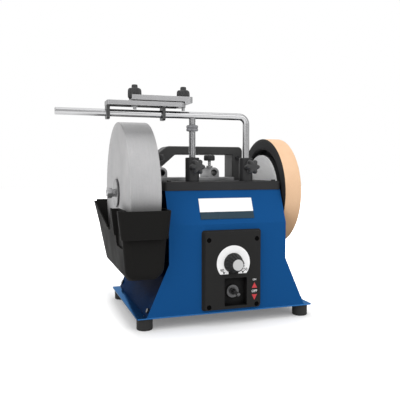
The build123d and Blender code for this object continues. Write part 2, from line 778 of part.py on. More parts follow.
def panel():
    center_z = panel_bottom + panel_height / 2
    base = Plane((panel_center_x, front_y, center_z), x_dir=(1, 0, 0), z_dir=(0, -1, 0))
    face = Plane((panel_center_x, panel_face_y, center_z), x_dir=(1, 0, 0), z_dir=(0, -1, 0))
    outline = base * RectangleRounded(panel_width, panel_height, 5)
    crown = face * RectangleRounded(panel_width - 2 * panel_draft_x, panel_height - 2 * panel_draft_z, 4)
    body = loft([outline, crown])
    body -= box_between(
        panel_center_x - panel_width / 2 + panel_draft_x + panel_wall,
        panel_center_x + panel_width / 2 - panel_draft_x - panel_wall,
        panel_face_y + panel_wall,
        front_y + 1,
        panel_bottom + panel_draft_z + panel_wall,
        panel_bottom + panel_height - panel_draft_z - panel_wall,
    )
    recess_left = recess_center_x - recess_width / 2
    recess_right = recess_center_x + recess_width / 2
    recess_top = recess_bottom + recess_height
    floor_y = panel_face_y + recess_depth
    body += box_between(
        recess_left - recess_wall,
        recess_right + recess_wall,
        panel_face_y + panel_wall / 2,
        floor_y + recess_floor,
        recess_bottom - recess_wall,
        recess_top + recess_wall,
    )
    body -= box_between(recess_left, recess_right, panel_face_y - 1, floor_y, recess_bottom, recess_top)
    screws = []
    for side_x in (-1, 1):
        for level in (0, 1):
            x = panel_center_x + side_x * panel_screw_spacing_x / 2
            z = panel_screw_low + level * panel_screw_spacing_z
            body += rod_y(panel_screw_head + 4, panel_face_y + 1.5, front_y, x, z)
            body -= rod_y(panel_screw_head + 1, panel_face_y - 1, panel_face_y + 2.5, x, z)
            body -= rod_y(cover_screw_hole, panel_face_y - 1, front_y + 1, x, z)
            screw = rod_y(cover_screw_diameter, panel_face_y + 2.5, front_y, x, z)
            screws.append(screw + rod_y(panel_screw_head, panel_face_y + 0.7, panel_face_y + 2.5, x, z))
    posts = []
    for x in (panel_center_x - board_width / 2 + 5, panel_center_x + board_width / 2 - 5):
        for z in (board_center_z - board_height / 2 + 5, board_center_z + board_height / 2 - 5):
            posts.append(rod_y(6.0, panel_face_y + panel_wall, board_y, x, z))
    body -= rod_y(pot_neck_diameter, panel_face_y - 1, pot_front + 1, panel_center_x, dial_height)
    body -= rod_y(toggle_neck_diameter, floor_y - 1, floor_y + 4, toggle_x, toggle_height)
    nodes["control_panel"] = body
    nodes["panel_screws"] = group(screws)
    nodes["board_posts"] = group(posts)
    nodes["control_board"] = box_between(
        panel_center_x - board_width / 2,
        panel_center_x + board_width / 2,
        board_y,
        board_y + 1.6,
        board_center_z - board_height / 2,
        board_center_z + board_height / 2,
    )

    dial_face = panel_face_y - dial_thickness
    disc = rod_y(dial_outer_diameter, dial_face, panel_face_y, panel_center_x, dial_height)
    disc -= rod_y(dial_inner_diameter, panel_face_y - 2, panel_face_y + 1, panel_center_x, dial_height)
    for half_width, top in ((dial_outer_diameter, dial_height - dial_cut_drop), (dial_gap / 2, dial_height)):
        disc -= box_between(
            panel_center_x - half_width,
            panel_center_x + half_width,
            panel_face_y - 2,
            panel_face_y + 1,
            dial_height - dial_outer_diameter,
            top,
        )
    nodes["dial_scale"] = disc

    knob_back = dial_face - 2 * rub_gap
    knob_front = knob_back - knob_height
    knob_middle = (panel_center_x, (knob_back + knob_front) / 2, dial_height)
    grip = Plane(knob_middle, x_dir=(1, 0, 0), z_dir=(0, -1, 0))
    knob = grip * Cone(knob_base_diameter / 2, knob_top_diameter / 2, knob_height)
    knob_taper = (knob_base_diameter - knob_top_diameter) / 2 / knob_height
    for turn in range(knob_flute_count):
        angle = 2 * math.pi * turn / knob_flute_count
        ends = []
        for out in (knob_skirt, knob_height + 1):
            radius = knob_base_diameter / 2 - knob_taper * out
            flute_x = panel_center_x + radius * math.cos(angle)
            ends.append(Vector(flute_x, knob_back - out, dial_height + radius * math.sin(angle)))
        flute = Plane((ends[0] + ends[1]) / 2, z_dir=ends[1] - ends[0])
        knob -= flute * Cylinder(knob_flute_diameter / 2, (ends[1] - ends[0]).length)
    spindle_front = knob_back - pot_spindle_grip
    knob -= rod_y(pot_spindle_diameter, spindle_front, knob_back + 1, panel_center_x, dial_height)
    nodes["speed_knob"] = knob
    cap = rod_y(knob_cap_diameter, knob_front - 1.5, knob_front, panel_center_x, dial_height)
    nodes["knob_cap"] = fillet(cap.edges().filter_by(GeomType.CIRCLE).sort_by(Axis.Y)[0], 0.8)
    spindle_back = pot_front + pot_body_depth / 2
    stem = rod_y(pot_spindle_diameter, spindle_front, spindle_back, panel_center_x, dial_height)
    nodes["pot_spindle"] = stem
    pot = rod_y(pot_body_diameter, pot_front, pot_front + pot_body_depth, panel_center_x, dial_height)
    pot += rod_y(pot_neck_diameter, panel_face_y, pot_front, panel_center_x, dial_height)
    pot_bore = pot_spindle_diameter + 2 * running_fit
    pot -= rod_y(pot_bore, panel_face_y - 1, spindle_back + hole_slack, panel_center_x, dial_height)
    nodes["potentiometer"] = pot

    toggle_back = floor_y + recess_floor
    switch = box_between(
        toggle_x - toggle_body_width / 2,
        toggle_x + toggle_body_width / 2,
        toggle_back,
        toggle_back + toggle_body_depth,
        toggle_height - toggle_body_height / 2,
        toggle_height + toggle_body_height / 2,
    )
    neck_front = floor_y - toggle_neck_length
    switch += rod_y(toggle_neck_diameter, neck_front, toggle_back, toggle_x, toggle_height)
    switch -= rod_y(toggle_bore_diameter, neck_front - 1, toggle_back + 6, toggle_x, toggle_height)
    nodes["toggle_switch"] = switch
    ring_front = floor_y - toggle_ring_thickness
    ring = rod_y(toggle_ring_diameter, ring_front, floor_y, toggle_x, toggle_height)
    ring -= rod_y(toggle_neck_diameter, neck_front, floor_y + 1, toggle_x, toggle_height)
    nodes["toggle_ring"] = ring
    lever_tip = toggle_pivot_y - toggle_lever_length
    lever_middle = (toggle_x, (toggle_pivot_y + lever_tip) / 2, toggle_height)
    lever = Plane(lever_middle, x_dir=(1, 0, 0), z_dir=(0, -1, 0))
    lever = lever * Cone(toggle_lever_diameter / 2, toggle_tip_diameter / 2, toggle_lever_length)
    lever += Pos(toggle_x, lever_tip, toggle_height) * Sphere(toggle_tip_diameter / 2)
    pivot = Sphere(toggle_bore_diameter / 2 - rub_gap)
    lever += Pos(toggle_x, toggle_pivot_y, toggle_height) * pivot
    nodes["toggle_lever"] = lever

    slope = math.atan2(slope_run, body_top - slope_foot_height)
    slope_plane = Plane(
        (plate_center_x, front_y, slope_foot_height),
        x_dir=(1, 0, 0),
        z_dir=(0, -math.cos(slope), math.sin(slope)),
    )
    labels = (
        ("name_plate", strip_low + strip_height, name_plate_height),
        ("model_strip", strip_low, strip_height),
    )
    for name, low, tall in labels:
        sheet_face = slope_plane * Pos(0, low + tall / 2, 0) * Rectangle(name_plate_width, tall)
        nodes[name] = extrude(sheet_face, name_plate_thickness)


def support():
    bar_end = right_leg_x - bend_radius
    bar = rod_x(rod_diameter, bar_left_end, bar_end, support_y, bar_height)
    bar = chamfer(bar.edges().filter_by(GeomType.CIRCLE).sort_by(Axis.X)[0], 1.0)
    bend_start = Plane((bar_end, support_y, bar_height), x_dir=(0, 1, 0), z_dir=(1, 0, 0))
    section = bend_start * Circle(rod_diameter / 2)
    bend_axis = Axis((bar_end, support_y, bar_height - bend_radius), (0, 1, 0))
    bar += revolve(section, bend_axis, 90)
    leg = rod_z(rod_diameter, leg_bottom, bar_height - bend_radius, right_leg_x, support_y)
    bar += chamfer(leg.edges().filter_by(GeomType.CIRCLE).sort_by(Axis.Z)[0], 1.0)
    nodes["support_bar"] = bar
    leg = rod_z(rod_diameter, leg_bottom, bar_height, left_leg_x, support_y)
    leg = chamfer(leg.edges().filter_by(GeomType.CIRCLE).sort_by(Axis.Z)[0], 1.0)
    leg -= rod_x(rod_diameter, left_leg_x - rod_diameter, left_leg_x + rod_diameter, support_y, bar_height)
    nodes["threaded_leg"] = leg
    adjuster_top = adjuster_bottom + adjuster_thickness
    adjuster = rod_z(adjuster_diameter, adjuster_bottom, adjuster_top, left_leg_x, support_y)
    adjuster = chamfer(adjuster.edges().filter_by(GeomType.CIRCLE), adjuster_chamfer)
    adjuster_bore = rod_diameter + 2 * thread_fit
    adjuster -= rod_z(adjuster_bore, adjuster_bottom - 1, adjuster_top + 1, left_leg_x, support_y)
    nodes["height_adjuster"] = adjuster

    knob_back = star_knob_front + star_knob_thickness
    sleeves = []
    nuts = []
    for name, x in (("left", left_leg_x), ("right", right_leg_x)):
        sleeve = rod_z(sleeve_diameter, cover_top, cover_top + sleeve_height, x, support_y)
        sleeve = chamfer(sleeve.edges().filter_by(GeomType.CIRCLE).sort_by(Axis.Z)[-1], 1.0)
        sleeve += rod_z(sleeve_tail_diameter, cover_top - sleeve_tail_length, cover_top, x, support_y)
        sleeve += rod_y(clamp_boss_diameter, clamp_boss_front, support_y, x, clamp_height)
        sleeve -= rod_z(
            rod_diameter + 2 * sliding_fit,
            cover_top - sleeve_tail_length - 1,
            cover_top + sleeve_height + 1,
            x,
            support_y,
        )
        stud_hole = clamp_stud_diameter + 2 * thread_fit
        sleeve -= rod_y(stud_hole, clamp_boss_front - 1, support_y, x, clamp_height)
        sleeves.append(sleeve)
        nut_top = cover_top - cover_wall
        nut = rod_z(sleeve_nut_diameter, nut_top - sleeve_nut_thickness, nut_top, x, support_y)
        nut_bore = sleeve_tail_diameter + 2 * seat_fit
        nut -= rod_z(nut_bore, nut_top - sleeve_nut_thickness - 1, nut_top + 1, x, support_y)
        nuts.append(nut)

        turn_in = Plane((x, knob_back, clamp_height), x_dir=(1, 0, 0), z_dir=(0, -1, 0))
        knob = turn_in * lobed_knob(star_knob_diameter, star_knob_thickness, star_knob_lobes)
        stud_end = support_y - rod_diameter / 2 - rub_gap
        knob += rod_y(clamp_stud_diameter, knob_back - 2, stud_end, x, clamp_height)
        nodes["star_knob_" + name] = knob
    nodes["upright_sleeves"] = group(sleeves)
    nodes["sleeve_nuts"] = group(nuts)


def level_rack():
    rack = box_between(rack_left, rack_right, rack_front, rack_rear, cover_top, cover_top + rack_plate)
    rack = fillet(rack.edges().filter_by(Axis.Z), 4.0)
    plate_top = cover_top + rack_plate
    sleeve_rear = level_sleeve_front + level_sleeve_length
    knob_y = (level_sleeve_front + sleeve_rear) / 2
    shoulder = level_bore_height + level_sleeve_width / 2
    for x in level_places:
        rack += box_between(
            x - level_sleeve_width / 2,
            x + level_sleeve_width / 2,
            level_sleeve_front,
            sleeve_rear,
            plate_top,
            level_bore_height,
        )
        rack += rod_y(level_sleeve_width, level_sleeve_front, sleeve_rear, x, level_bore_height)
        rack += rod_z(level_boss_diameter, level_bore_height, shoulder + 3, x, knob_y)
    for x in level_places:
        level_bore = rod_diameter + 2 * sliding_fit
        rack -= rod_y(level_bore, level_sleeve_front - 1, sleeve_rear + 1, x, level_bore_height)
        rack -= rod_z(level_stud_diameter + 2 * thread_fit, level_bore_height, shoulder + 5, x, knob_y)
    nodes["level_rack"] = rack
    for name, x in zip(("left", "right"), level_places):
        knob = lobed_knob(level_knob_diameter, level_knob_thickness, star_knob_lobes)
        knob = Pos(x, knob_y, level_knob_bottom) * knob
        stud_end = level_bore_height + rod_diameter / 2 + rub_gap
        knob += rod_z(level_stud_diameter, stud_end, level_knob_bottom + 2, x, knob_y)
        nodes["level_knob_" + name] = knob


def jig_outline(grow, low, high):
    """Block with the base plate's outline, grown by grow at its right end."""
    front = support_y - jig_depth / 2 - grow
    rear = support_y + jig_depth / 2 + grow
    block = box_between(jig_left, jig_left + jig_length + grow, front, rear, low, high)
    block = fillet(block.edges().filter_by(Axis.Z).sort_by(Axis.X)[-2:], jig_right_corner + grow)
    return fillet(block.edges().filter_by(Axis.Z).sort_by(Axis.X)[:2], jig_left_corner)


def jig_clamp(plate_top):
    """Channel that is open above and at the left, with a hook over the base plate's right end."""
    bottom = plate_top + clamp_gap
    top = bottom + clamp_thickness
    front = support_y - clamp_depth / 2
    rear = support_y + clamp_depth / 2
    low = bottom - clamp_lip_drop
    clamp = box_between(clamp_left, clamp_right, front, rear, bottom, top)
    clamp += box_between(clamp_right - clamp_lip_thickness, clamp_right, front, rear, low, bottom)
    clamp = fillet(clamp.edges().filter_by(Axis.Z).group_by(Axis.X)[-1], clamp_corner)
    clamp -= jig_outline(clamp_lip_room, low - 1, bottom)
    bevel = [
        (clamp_right - clamp_lip_bevel, low - 0.01),
        (clamp_right + 1, low - 0.01),
        (clamp_right + 1, low + clamp_lip_drop * 0.85),
    ]
    clamp -= prism_y(bevel, front - 1, rear + 1)
    hollow = box_between(
        clamp_left - 1,
        clamp_right - clamp_end_wall,
        front + clamp_wall,
        rear - clamp_wall,
        bottom + clamp_web,
        top + 1,
    )
    return clamp - fillet(hollow.edges().filter_by(Axis.Z).group_by(Axis.X)[-1], clamp_corner - clamp_end_wall)


def jig():
    plate_top = jig_plate_bottom + jig_plate_thickness
    front = support_y - jig_depth / 2 + jig_wall
    rear = support_y + jig_depth / 2 - jig_wall
    base = jig_outline(0, jig_plate_bottom, plate_top)
    for left, right in (
        (jig_left + jig_ear_thickness, jig_second_ear_x),
        (jig_second_ear_x + jig_ear_thickness, jig_stud_right - jig_end_room),
    ):
        base -= box_between(left, right, front, rear, jig_plate_bottom - 1, plate_top - jig_skin)
    base += rod_z(jig_boss_diameter, jig_plate_bottom, plate_top, jig_stud_left, support_y)
    for ear_x in (jig_left, jig_second_ear_x):
        ear = box_between(
            ear_x,
            ear_x + jig_ear_thickness,
            support_y - jig_ear_depth / 2,
            support_y + jig_ear_depth / 2,
            jig_ear_bottom,
            jig_plate_bottom,
        )
        base += fillet(ear.edges().filter_by(Axis.X).sort_by(Axis.Z)[:2], 5.0)
    base -= rod_x(rod_diameter + 2 * sliding_fit, jig_left - 5, jig_left + jig_length, support_y, bar_height)
    clamp = jig_clamp(plate_top)
    clamp_bottom = plate_top + clamp_gap
    clamp_top = clamp_bottom + clamp_thickness
    for name, x in (("left", jig_stud_left), ("right", jig_stud_right)):
        stud_hole = jig_stud_diameter + 2 * thread_fit
        base -= rod_z(stud_hole, jig_plate_bottom - 1, plate_top + 1, x, support_y)
        clamp -= rod_z(stud_hole, clamp_bottom - clamp_lip_drop - 1, clamp_top + 1, x, support_y)
        grip_bottom = clamp_bottom + clamp_web + rub_gap
        grip = lobed_knob(jig_knob_diameter, jig_knob_thickness, star_knob_lobes)
        grip = Pos(x, support_y, grip_bottom) * grip
        grip += rod_z(jig_knob_crown_diameter, grip_bottom, clamp_top + jig_knob_height, x, support_y)
        grip += rod_z(jig_stud_diameter, jig_stud_bottom, grip_bottom + 2, x, support_y)
        nodes["jig_knob_" + name] = grip
    nodes["jig_base"] = base
    nodes["jig_clamp"] = clamp


def trough_bow(inset):
    """Limit of the well below the pocket: narrow and round at the front, wider towards the stone."""
    over = 160.0
    flare = 0.1 * over
    shoulder = trough_step_height + inset
    low = trough_bottom + bow_rise + inset
    left = well_left + bow_side_room + inset
    right = well_right - bow_side_room - inset
    outline = [
        (left - flare, shoulder + over),
        (left, shoulder),
        (left + bow_left_draft, low),
        (right - bow_right_draft, low),
        (right, shoulder),
        (right + flare, shoulder + over),
    ]
    face = make_face(Polyline(*outline, close=True))
    face = fillet(face.vertices().group_by(Axis.Y)[0].sort_by(Axis.X)[0], bow_left_corner - inset)
    face = fillet(face.vertices().group_by(Axis.Y)[0].sort_by(Axis.X)[-1], bow_right_corner - inset)
    lead = 5.0
    length = trough_rear - trough_front + 2 * lead
    bow = extrude(Plane.XZ * face, length * math.hypot(1, bow_fall), dir=(0, 1, -bow_fall))
    return Pos(0, well_front + inset - lead, lead * bow_fall) * bow


def trough_body(inset):
    """Solid shape of the trough, walls moved inwards by inset and open above when inset is not 0."""
    rim = trough_top + (10 if inset else 0)
    over = 40.0
    side = [
        (well_front, trough_top + over),
        (well_front, trough_bottom + well_floor_rise / 3),
        (-stone_radius / 2, trough_bottom + well_floor_rise / 6),
        (0, trough_bottom),
        (stone_radius / 3, trough_bottom + well_floor_rise / 4),
        (stone_radius * 0.54, trough_bottom + well_floor_rise),
        (stone_radius * 0.96, trough_step_height - 9),
        (trough_rear, trough_top),
        (trough_rear, trough_top + over),
    ]
    across = [
        (trough_left, trough_top + over),
        (trough_left, trough_top),
        (well_left, trough_step_height),
        (well_left + trough_draft, trough_bottom + well_floor_rise),
        (well_left + trough_draft + well_floor_rise, trough_bottom - trough_wall),
        (well_right - trough_draft / 4 - well_floor_rise / 4, trough_bottom - trough_wall),
        (well_right - trough_draft / 4, trough_bottom + well_floor_rise),
        (well_right, trough_step_height),
        (trough_right, trough_top),
        (trough_right, trough_top + over),
    ]
    tub = prism_x(moved_in(side, inset), trough_left - over, trough_right + over)
    tub &= prism_y(moved_in(across, inset), trough_front - over, trough_rear + over)
    shoulder = trough_step_height + inset
    below = box_between(
        trough_left - over,
        trough_right + over,
        trough_front - over,
        trough_rear + over,
        trough_bottom - over,
        shoulder,
    )
    well = (tub & below) & trough_bow(inset)
    front_face = well.faces().sort_by(Axis.Y)[0]
    front_edges = [edge for edge in front_face.edges() if edge.center().Z < shoulder - 0.01]
    tub = (tub - below) + fillet(front_edges, well_corner - inset)
    pocket = [
        (trough_left + inset, trough_top + over),
        (trough_left + inset, trough_top),
        (trough_left + trough_draft + inset, trough_step_height + inset),
        (trough_right - trough_right_draft - inset, trough_step_height + inset),
        (trough_right - inset, trough_top),
        (trough_right - inset, trough_top + over),
    ]
    pocket = prism_y(pocket, trough_front + inset, pocket_rear - inset)
    front_edges = [
        edge
        for edge in pocket.edges()
        if abs(edge.center().Y - (trough_front + inset)) < 0.01 and abs(edge.tangent_at(0.5).Z) > 0.8
    ]
    pocket = fillet(front_edges, trough_corner - inset)
    lid = box_between(
        trough_left - over,
        trough_right + over,
        trough_front - over,
        trough_rear + over,
        trough_bottom - over,
        rim,
    )
    lid += box_between(
        trough_left + rear_lip_inset,
        trough_right + over,
        trough_rear - rear_lip_room,
        trough_rear + over,
        trough_bottom,
        rim + rear_lip_rise,
    )
    return (tub + pocket) & lid


def trough_grip(grow):
    """Finger recess in the left side behind the front rim, grown by the wall for the inside."""
    front = trough_front + grip_front_room
    block = box_between(
        trough_left - 40,
        trough_left + grip_depth + grow,
        front - grow,
        front + grip_length + grow,
        trough_top - grip_height - grow,
        trough_top + 40,
    )
    return fillet(block.edges().filter_by(Axis.X).group_by(Axis.Z)[0], grip_corner + grow)


def trough():
    body = trough_body(0) - trough_grip(0)
    body -= trough_body(trough_wall) - trough_grip(trough_wall)
    notch = [
        (pocket_rear + 1, trough_top + 10),
        (pocket_rear + 1, trough_top - 2),
        (-notch_front_run, notch_bottom + notch_front_rise),
        (0, notch_bottom),
        (notch_rear_run, notch_bottom + notch_rear_rise),
        (trough_rear - notch_end_inset, trough_top),
        (trough_rear - notch_end_inset, trough_top + 10),
    ]
    body -= prism_x(notch, trough_left - 10, notch_inner_x)
    for y in hanger_places:
        cut_left = trough_right - 12
        cut_right = trough_right + 5
        body -= rod_x(hanger_pin_diameter + 2 * rub_gap, cut_left, cut_right, y, hanger_height)
        body -= box_between(
            cut_left,
            cut_right,
            y - hanger_pin_diameter / 2 - rub_gap,
            y + hanger_pin_diameter / 2 + rub_gap,
            hanger_height - hanger_lift,
            hanger_height,
        )
        body -= rod_x(hanger_head_diameter + 2, cut_left, cut_right, y, hanger_height - hanger_lift)
    nodes["water_trough"] = body


def motor():
    can_left = motor_left + motor_bell_length
    can_right = motor_right - motor_bell_length
    can_bore = motor_diameter - 2 * motor_wall
    nodes["motor_can"] = ring_x(motor_diameter, can_bore, can_left, can_right, 0, motor_height)
    shaft_hole = drive_shaft_diameter + 2 * running_fit
    bells = []
    for start, outer_end in ((motor_left, 0), (can_right, -1)):
        end = start + motor_bell_length
        bell = rod_x(motor_diameter, start, end, 0, motor_height)
        bell = fillet(bell.edges().filter_by(GeomType.CIRCLE).sort_by(Axis.X)[outer_end], 6.0)
        bells.append(bell - rod_x(shaft_hole, start - 1, end + 1, 0, motor_height))
    nodes["motor_bells"] = group(bells)
    middle = (can_left + can_right) / 2
    core_left = middle - rotor_length / 2
    core_right = middle + rotor_length / 2
    nodes["stator_core"] = ring_x(can_bore, stator_bore, core_left, core_right, 0, motor_height)
    rotor = ring_x(rotor_diameter, drive_shaft_diameter, core_left, core_right, 0, motor_height)
    nodes["rotor_core"] = rotor
    drive = rod_x(drive_shaft_diameter, motor_left - 3, wheel_left + roller_reach, 0, motor_height)
    nodes["drive_shaft"] = chamfer(drive.edges().filter_by(GeomType.CIRCLE), 0.6)

    cradle = box_between(
        cradle_center_x - cradle_half,
        cradle_center_x + cradle_half,
        -cradle_width / 2,
        cradle_width / 2,
        base_top,
        base_top + cradle_plate,
    )
    straps = []
    for start in (cradle_center_x - cradle_half, cradle_center_x + cradle_half - strap_width):
        end = start + strap_width
        cradle += box_between(start, end, -cradle_width / 2, cradle_width / 2, base_top, motor_height)
        strap = ring_x(motor_diameter + 2 * strap_thickness, motor_diameter, start, end, 0, motor_height)
        strap_top = motor_height + motor_diameter
        strap &= box_between(start, end, -cradle_width, cradle_width, motor_height, strap_top)
        lip_top = motor_height + strap_thickness
        strap += box_between(start, end, -cradle_width / 2, -motor_diameter / 2, motor_height, lip_top)
        strap += box_between(start, end, motor_diameter / 2, cradle_width / 2, motor_height, lip_top)
        straps.append(strap)
    cradle -= rod_x(motor_diameter, motor_left, motor_right, 0, motor_height)
    cradle -= box_between(
        cradle_center_x - cradle_half - 1,
        cradle_center_x + cradle_half + 1,
        -cradle_width / 4,
        cradle_width / 4,
        base_top + cradle_plate,
        motor_height - motor_diameter / 2 - 8,
    )
    screws = []
    for x, y in cradle_screw_places:
        cradle -= rod_z(foot_screw_hole, base_top - 1, base_top + cradle_plate + 1, x, y)
        screw = rod_z(foot_screw_diameter, foot_height, base_top + cradle_plate, x, y)
        head_seat = base_top + cradle_plate
        screws.append(screw + rod_z(foot_screw_head, head_seat, head_seat + screw_head_height, x, y))
    nodes["motor_cradle"] = cradle
    nodes["motor_straps"] = group(straps)
    nodes["cradle_screws"] = group(screws)


spindle()
housing()
cover()
handle()
panel()
support()
level_rack()
jig()
trough()
motor()

solids = [solid for node in nodes.values() for solid in node.solids()]
outline = Compound(children=solids).bounding_box()
shift = Pos(-(outline.min.X + outline.max.X) / 2, -(outline.min.Y + outline.max.Y) / 2, -outline.min.Z)
os.makedirs("parts", exist_ok=True)
for name, node in nodes.items():
    export_step(shift * node, "parts/" + name + ".step")
print("nodes", len(nodes), "shift", shift.position, "size", outline.size)
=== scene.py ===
"""Dresses the wet sharpening machine and sets up its studio.

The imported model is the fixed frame. This script gives every piece its finish, makes the threads, star
knobs, knurls and markings that the solids leave plain, and adds the floor, the lamps and the camera.
Lengths are metres in the row frame: X along the spindle towards the honing wheel, Y away from the
operator, Z up from the table.
"""

import logging
import math
from collections.abc import Sequence
from dataclasses import asdict, dataclass
from enum import Enum
from functools import cache
from typing import ClassVar

import bpy
from bpy.types import ID, Material, Node, NodeOutputs, NodeSocket, NodeTree, Object, ShaderNodeTree
from mathutils import Euler, Matrix, Vector


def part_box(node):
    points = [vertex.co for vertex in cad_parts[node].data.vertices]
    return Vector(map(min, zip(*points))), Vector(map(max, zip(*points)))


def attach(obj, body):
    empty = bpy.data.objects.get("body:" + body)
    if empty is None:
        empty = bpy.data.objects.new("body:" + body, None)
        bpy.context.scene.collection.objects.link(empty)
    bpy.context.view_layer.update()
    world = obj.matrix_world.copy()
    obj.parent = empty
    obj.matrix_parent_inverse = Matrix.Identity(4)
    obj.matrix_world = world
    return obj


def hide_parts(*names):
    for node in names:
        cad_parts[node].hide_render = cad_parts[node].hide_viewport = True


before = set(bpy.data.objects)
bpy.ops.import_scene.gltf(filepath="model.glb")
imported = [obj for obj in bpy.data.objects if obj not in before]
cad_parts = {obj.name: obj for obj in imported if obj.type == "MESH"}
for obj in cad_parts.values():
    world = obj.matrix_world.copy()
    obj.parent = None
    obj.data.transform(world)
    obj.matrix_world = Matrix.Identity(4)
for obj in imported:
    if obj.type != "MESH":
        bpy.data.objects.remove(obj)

Color = tuple[float, float, float]
Point = tuple[float, float, float]
Span = tuple[float, float]
Rows = tuple[tuple[float, float, float], ...]
Value = float | NodeSocket
Tint = Color | NodeSocket
Shape = tuple[Sequence[Vector], Sequence[tuple[int, ...]]]

UP = Vector((0.0, 0.0, 1.0))
FRONT = Vector((0.0, -1.0, 0.0))
RIGHT = Vector((1.0, 0.0, 0.0))
FULL_TURN = 2 * math.pi
CORNER_SAMPLES = 6

log = logging.getLogger("sharpening_machine")


class Slot(Enum):
    """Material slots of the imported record."""

    BLUE_PAINT = "blue_paint"
    BLACK_PLASTIC = "black_plastic"
    KNOB_PLASTIC = "knob_plastic"
    SLEEVE_BLACK = "sleeve_black"
    FOOT_RUBBER = "foot_rubber"
    LINING_RUBBER = "lining_rubber"
    LEATHER = "leather"
    GRIT_STONE = "grit_stone"
    CHROME_ROD = "chrome_rod"
    STEEL_BRIGHT = "steel_bright"
    SCREW_DARK = "screw_dark"
    CAST_GREY = "cast_grey"
    HUB_SILVER = "hub_silver"
    BUSH_BRONZE = "bush_bronze"
    PLATE_WHITE = "plate_white"
    SCALE_WHITE = "scale_white"
    STRIP_DARK = "strip_dark"
    CAP_GREY = "cap_grey"
    SWITCH_BLACK = "switch_black"
    SWITCH_METAL = "switch_metal"
    BOARD_GREEN = "board_green"
    POST_WHITE = "post_white"
    MOTOR_PAINT = "motor_paint"
    CORE_STEEL = "core_steel"


class Shade(Enum):
    """Surfaces without a slot of their own: variants of a slot's finish, and the printing inks."""

    BASE_PAINT = "base_paint"
    PANEL_BLACK = "panel_black"
    COVER_BLACK = "cover_black"
    HANDLE_BLACK = "handle_black"
    RING_GREY = "ring_grey"
    SCREW_BLACK = "screw_black"
    JIG_CAST = "jig_cast"
    WASHER_STEEL = "washer_steel"
    INK_WHITE = "ink_white"
    INK_RED = "ink_red"
    INK_DARK = "ink_dark"


Surface = Slot | Shade
Wardrobe = dict[Surface, tuple[str, ...]]


class Body(Enum):
    """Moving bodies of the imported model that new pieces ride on."""

    MACHINE = "machine"
    SUPPORT = "support"
    ADJUSTER = "adjuster"
    STAR_LEFT = "star_left"
    STAR_RIGHT = "star_right"
    LEVEL_LEFT = "level_left"
    LEVEL_RIGHT = "level_right"
    JIG_GRIP_LEFT = "jig_grip_left"
    JIG_GRIP_RIGHT = "jig_grip_right"


class KnobTop(Enum):
    """Shapes of a star knob's top."""

    FLAT = "flat"
    DOMED = "domed"


class Wiring:
    """Lays nodes into one node tree and joins their sockets."""

    def __init__(self, tree: NodeTree) -> None:
        """Starts on a tree."""
        self.tree = tree

    def lay(self, kind: str, inputs: dict[str | int, object] | None = None, **settings: object) -> Node:
        """Adds one node.

        Args:
            kind: Blender's name of the node type, without ShaderNode.
            inputs: Values or sockets for the node's inputs, by name or by number.
            **settings: Properties of the node itself.

        Returns:
            The new node.
        """
        node = self.tree.nodes.new(f"ShaderNode{kind}")
        for name, setting in settings.items():
            setattr(node, name, setting)
        for key, value in (inputs or {}).items():
            self.feed(node.inputs[key], value)
        return node

    def feed(self, socket: NodeSocket, value: object) -> None:
        """Joins a socket to another one, or sets its value.

        Args:
            socket: The input to feed.
            value: A socket, a number, a vector or a colour.
        """
        if isinstance(value, NodeSocket):
            self.tree.links.new(value, socket)
        elif isinstance(value, tuple) and socket.type == "RGBA":
            socket.default_value = (*value[:3], 1.0)
        else:
            socket.default_value = value

    def sum(self, operation: str, first: Value, second: Value = 0.0) -> NodeSocket:
        """Gives the result of the Math node's operation on one or two values."""
        return self.lay("Math", {0: first, 1: second}, operation=operation).outputs[0]

    def blend(self, mask: Value, low: Tint, high: Tint) -> NodeSocket:
        """Mixes two colours: 0 in the mask gives the low one and 1 the high one."""
        return self.lay("Mix", {0: mask, 6: low, 7: high}, data_type="RGBA").outputs[2]

    def stretch(self, value: Value, low: Value, high: Value, to_low: Value, to_high: Value) -> NodeSocket:
        """Maps the range from low to high onto the one from to_low to to_high, without overshoot."""
        ends = {"Value": value, "From Min": low, "From Max": high, "To Min": to_low, "To Max": to_high}
        return self.lay("MapRange", ends, clamp=True).outputs[0]

    def place(self) -> NodeSocket:
        """Gives the shaded point in the object's own frame."""
        return self.lay("TexCoord").outputs["Object"]

    def facing(self) -> NodeSocket:
        """Gives the direction that the shaded face looks in."""
        return self.lay("NewGeometry").outputs["Normal"]

    def rounded(self, radius: Value) -> NodeSocket:
        """Gives that direction as if the corners were rounded by a radius."""
        return self.lay("Bevel", {"Radius": radius}, samples=CORNER_SAMPLES).outputs[0]

    def parts(self, vector: NodeSocket) -> NodeOutputs:
        """Gives the X, Y and Z of a vector."""
        return self.lay("SeparateXYZ", {0: vector}).outputs

    def noise(self, place: NodeSocket, scale: Value, detail: float) -> NodeSocket:
        """Gives noise at a place, with so many waves in a metre."""
        inputs = {"Vector": place, "Scale": scale, "Detail": detail}
        return self.lay("TexNoise", inputs).outputs[0]


class Coating(Wiring):
    """Wiring of a material around its Principled shader."""

    def __init__(self, material: Material) -> None:
        """Starts on a material, with its shader and its output.

        Args:
            material: The material to fill.
        """
        material.use_nodes = True
        material.node_tree.nodes.clear()
        super().__init__(material.node_tree)
        self.shader = self.lay("BsdfPrincipled")
        self.lay("OutputMaterial", {"Surface": self.shader.outputs[0]})

    def set(self, name: str, value: object) -> None:
        """Feeds the shader's socket of that name."""
        self.feed(self.shader.inputs[name], value)


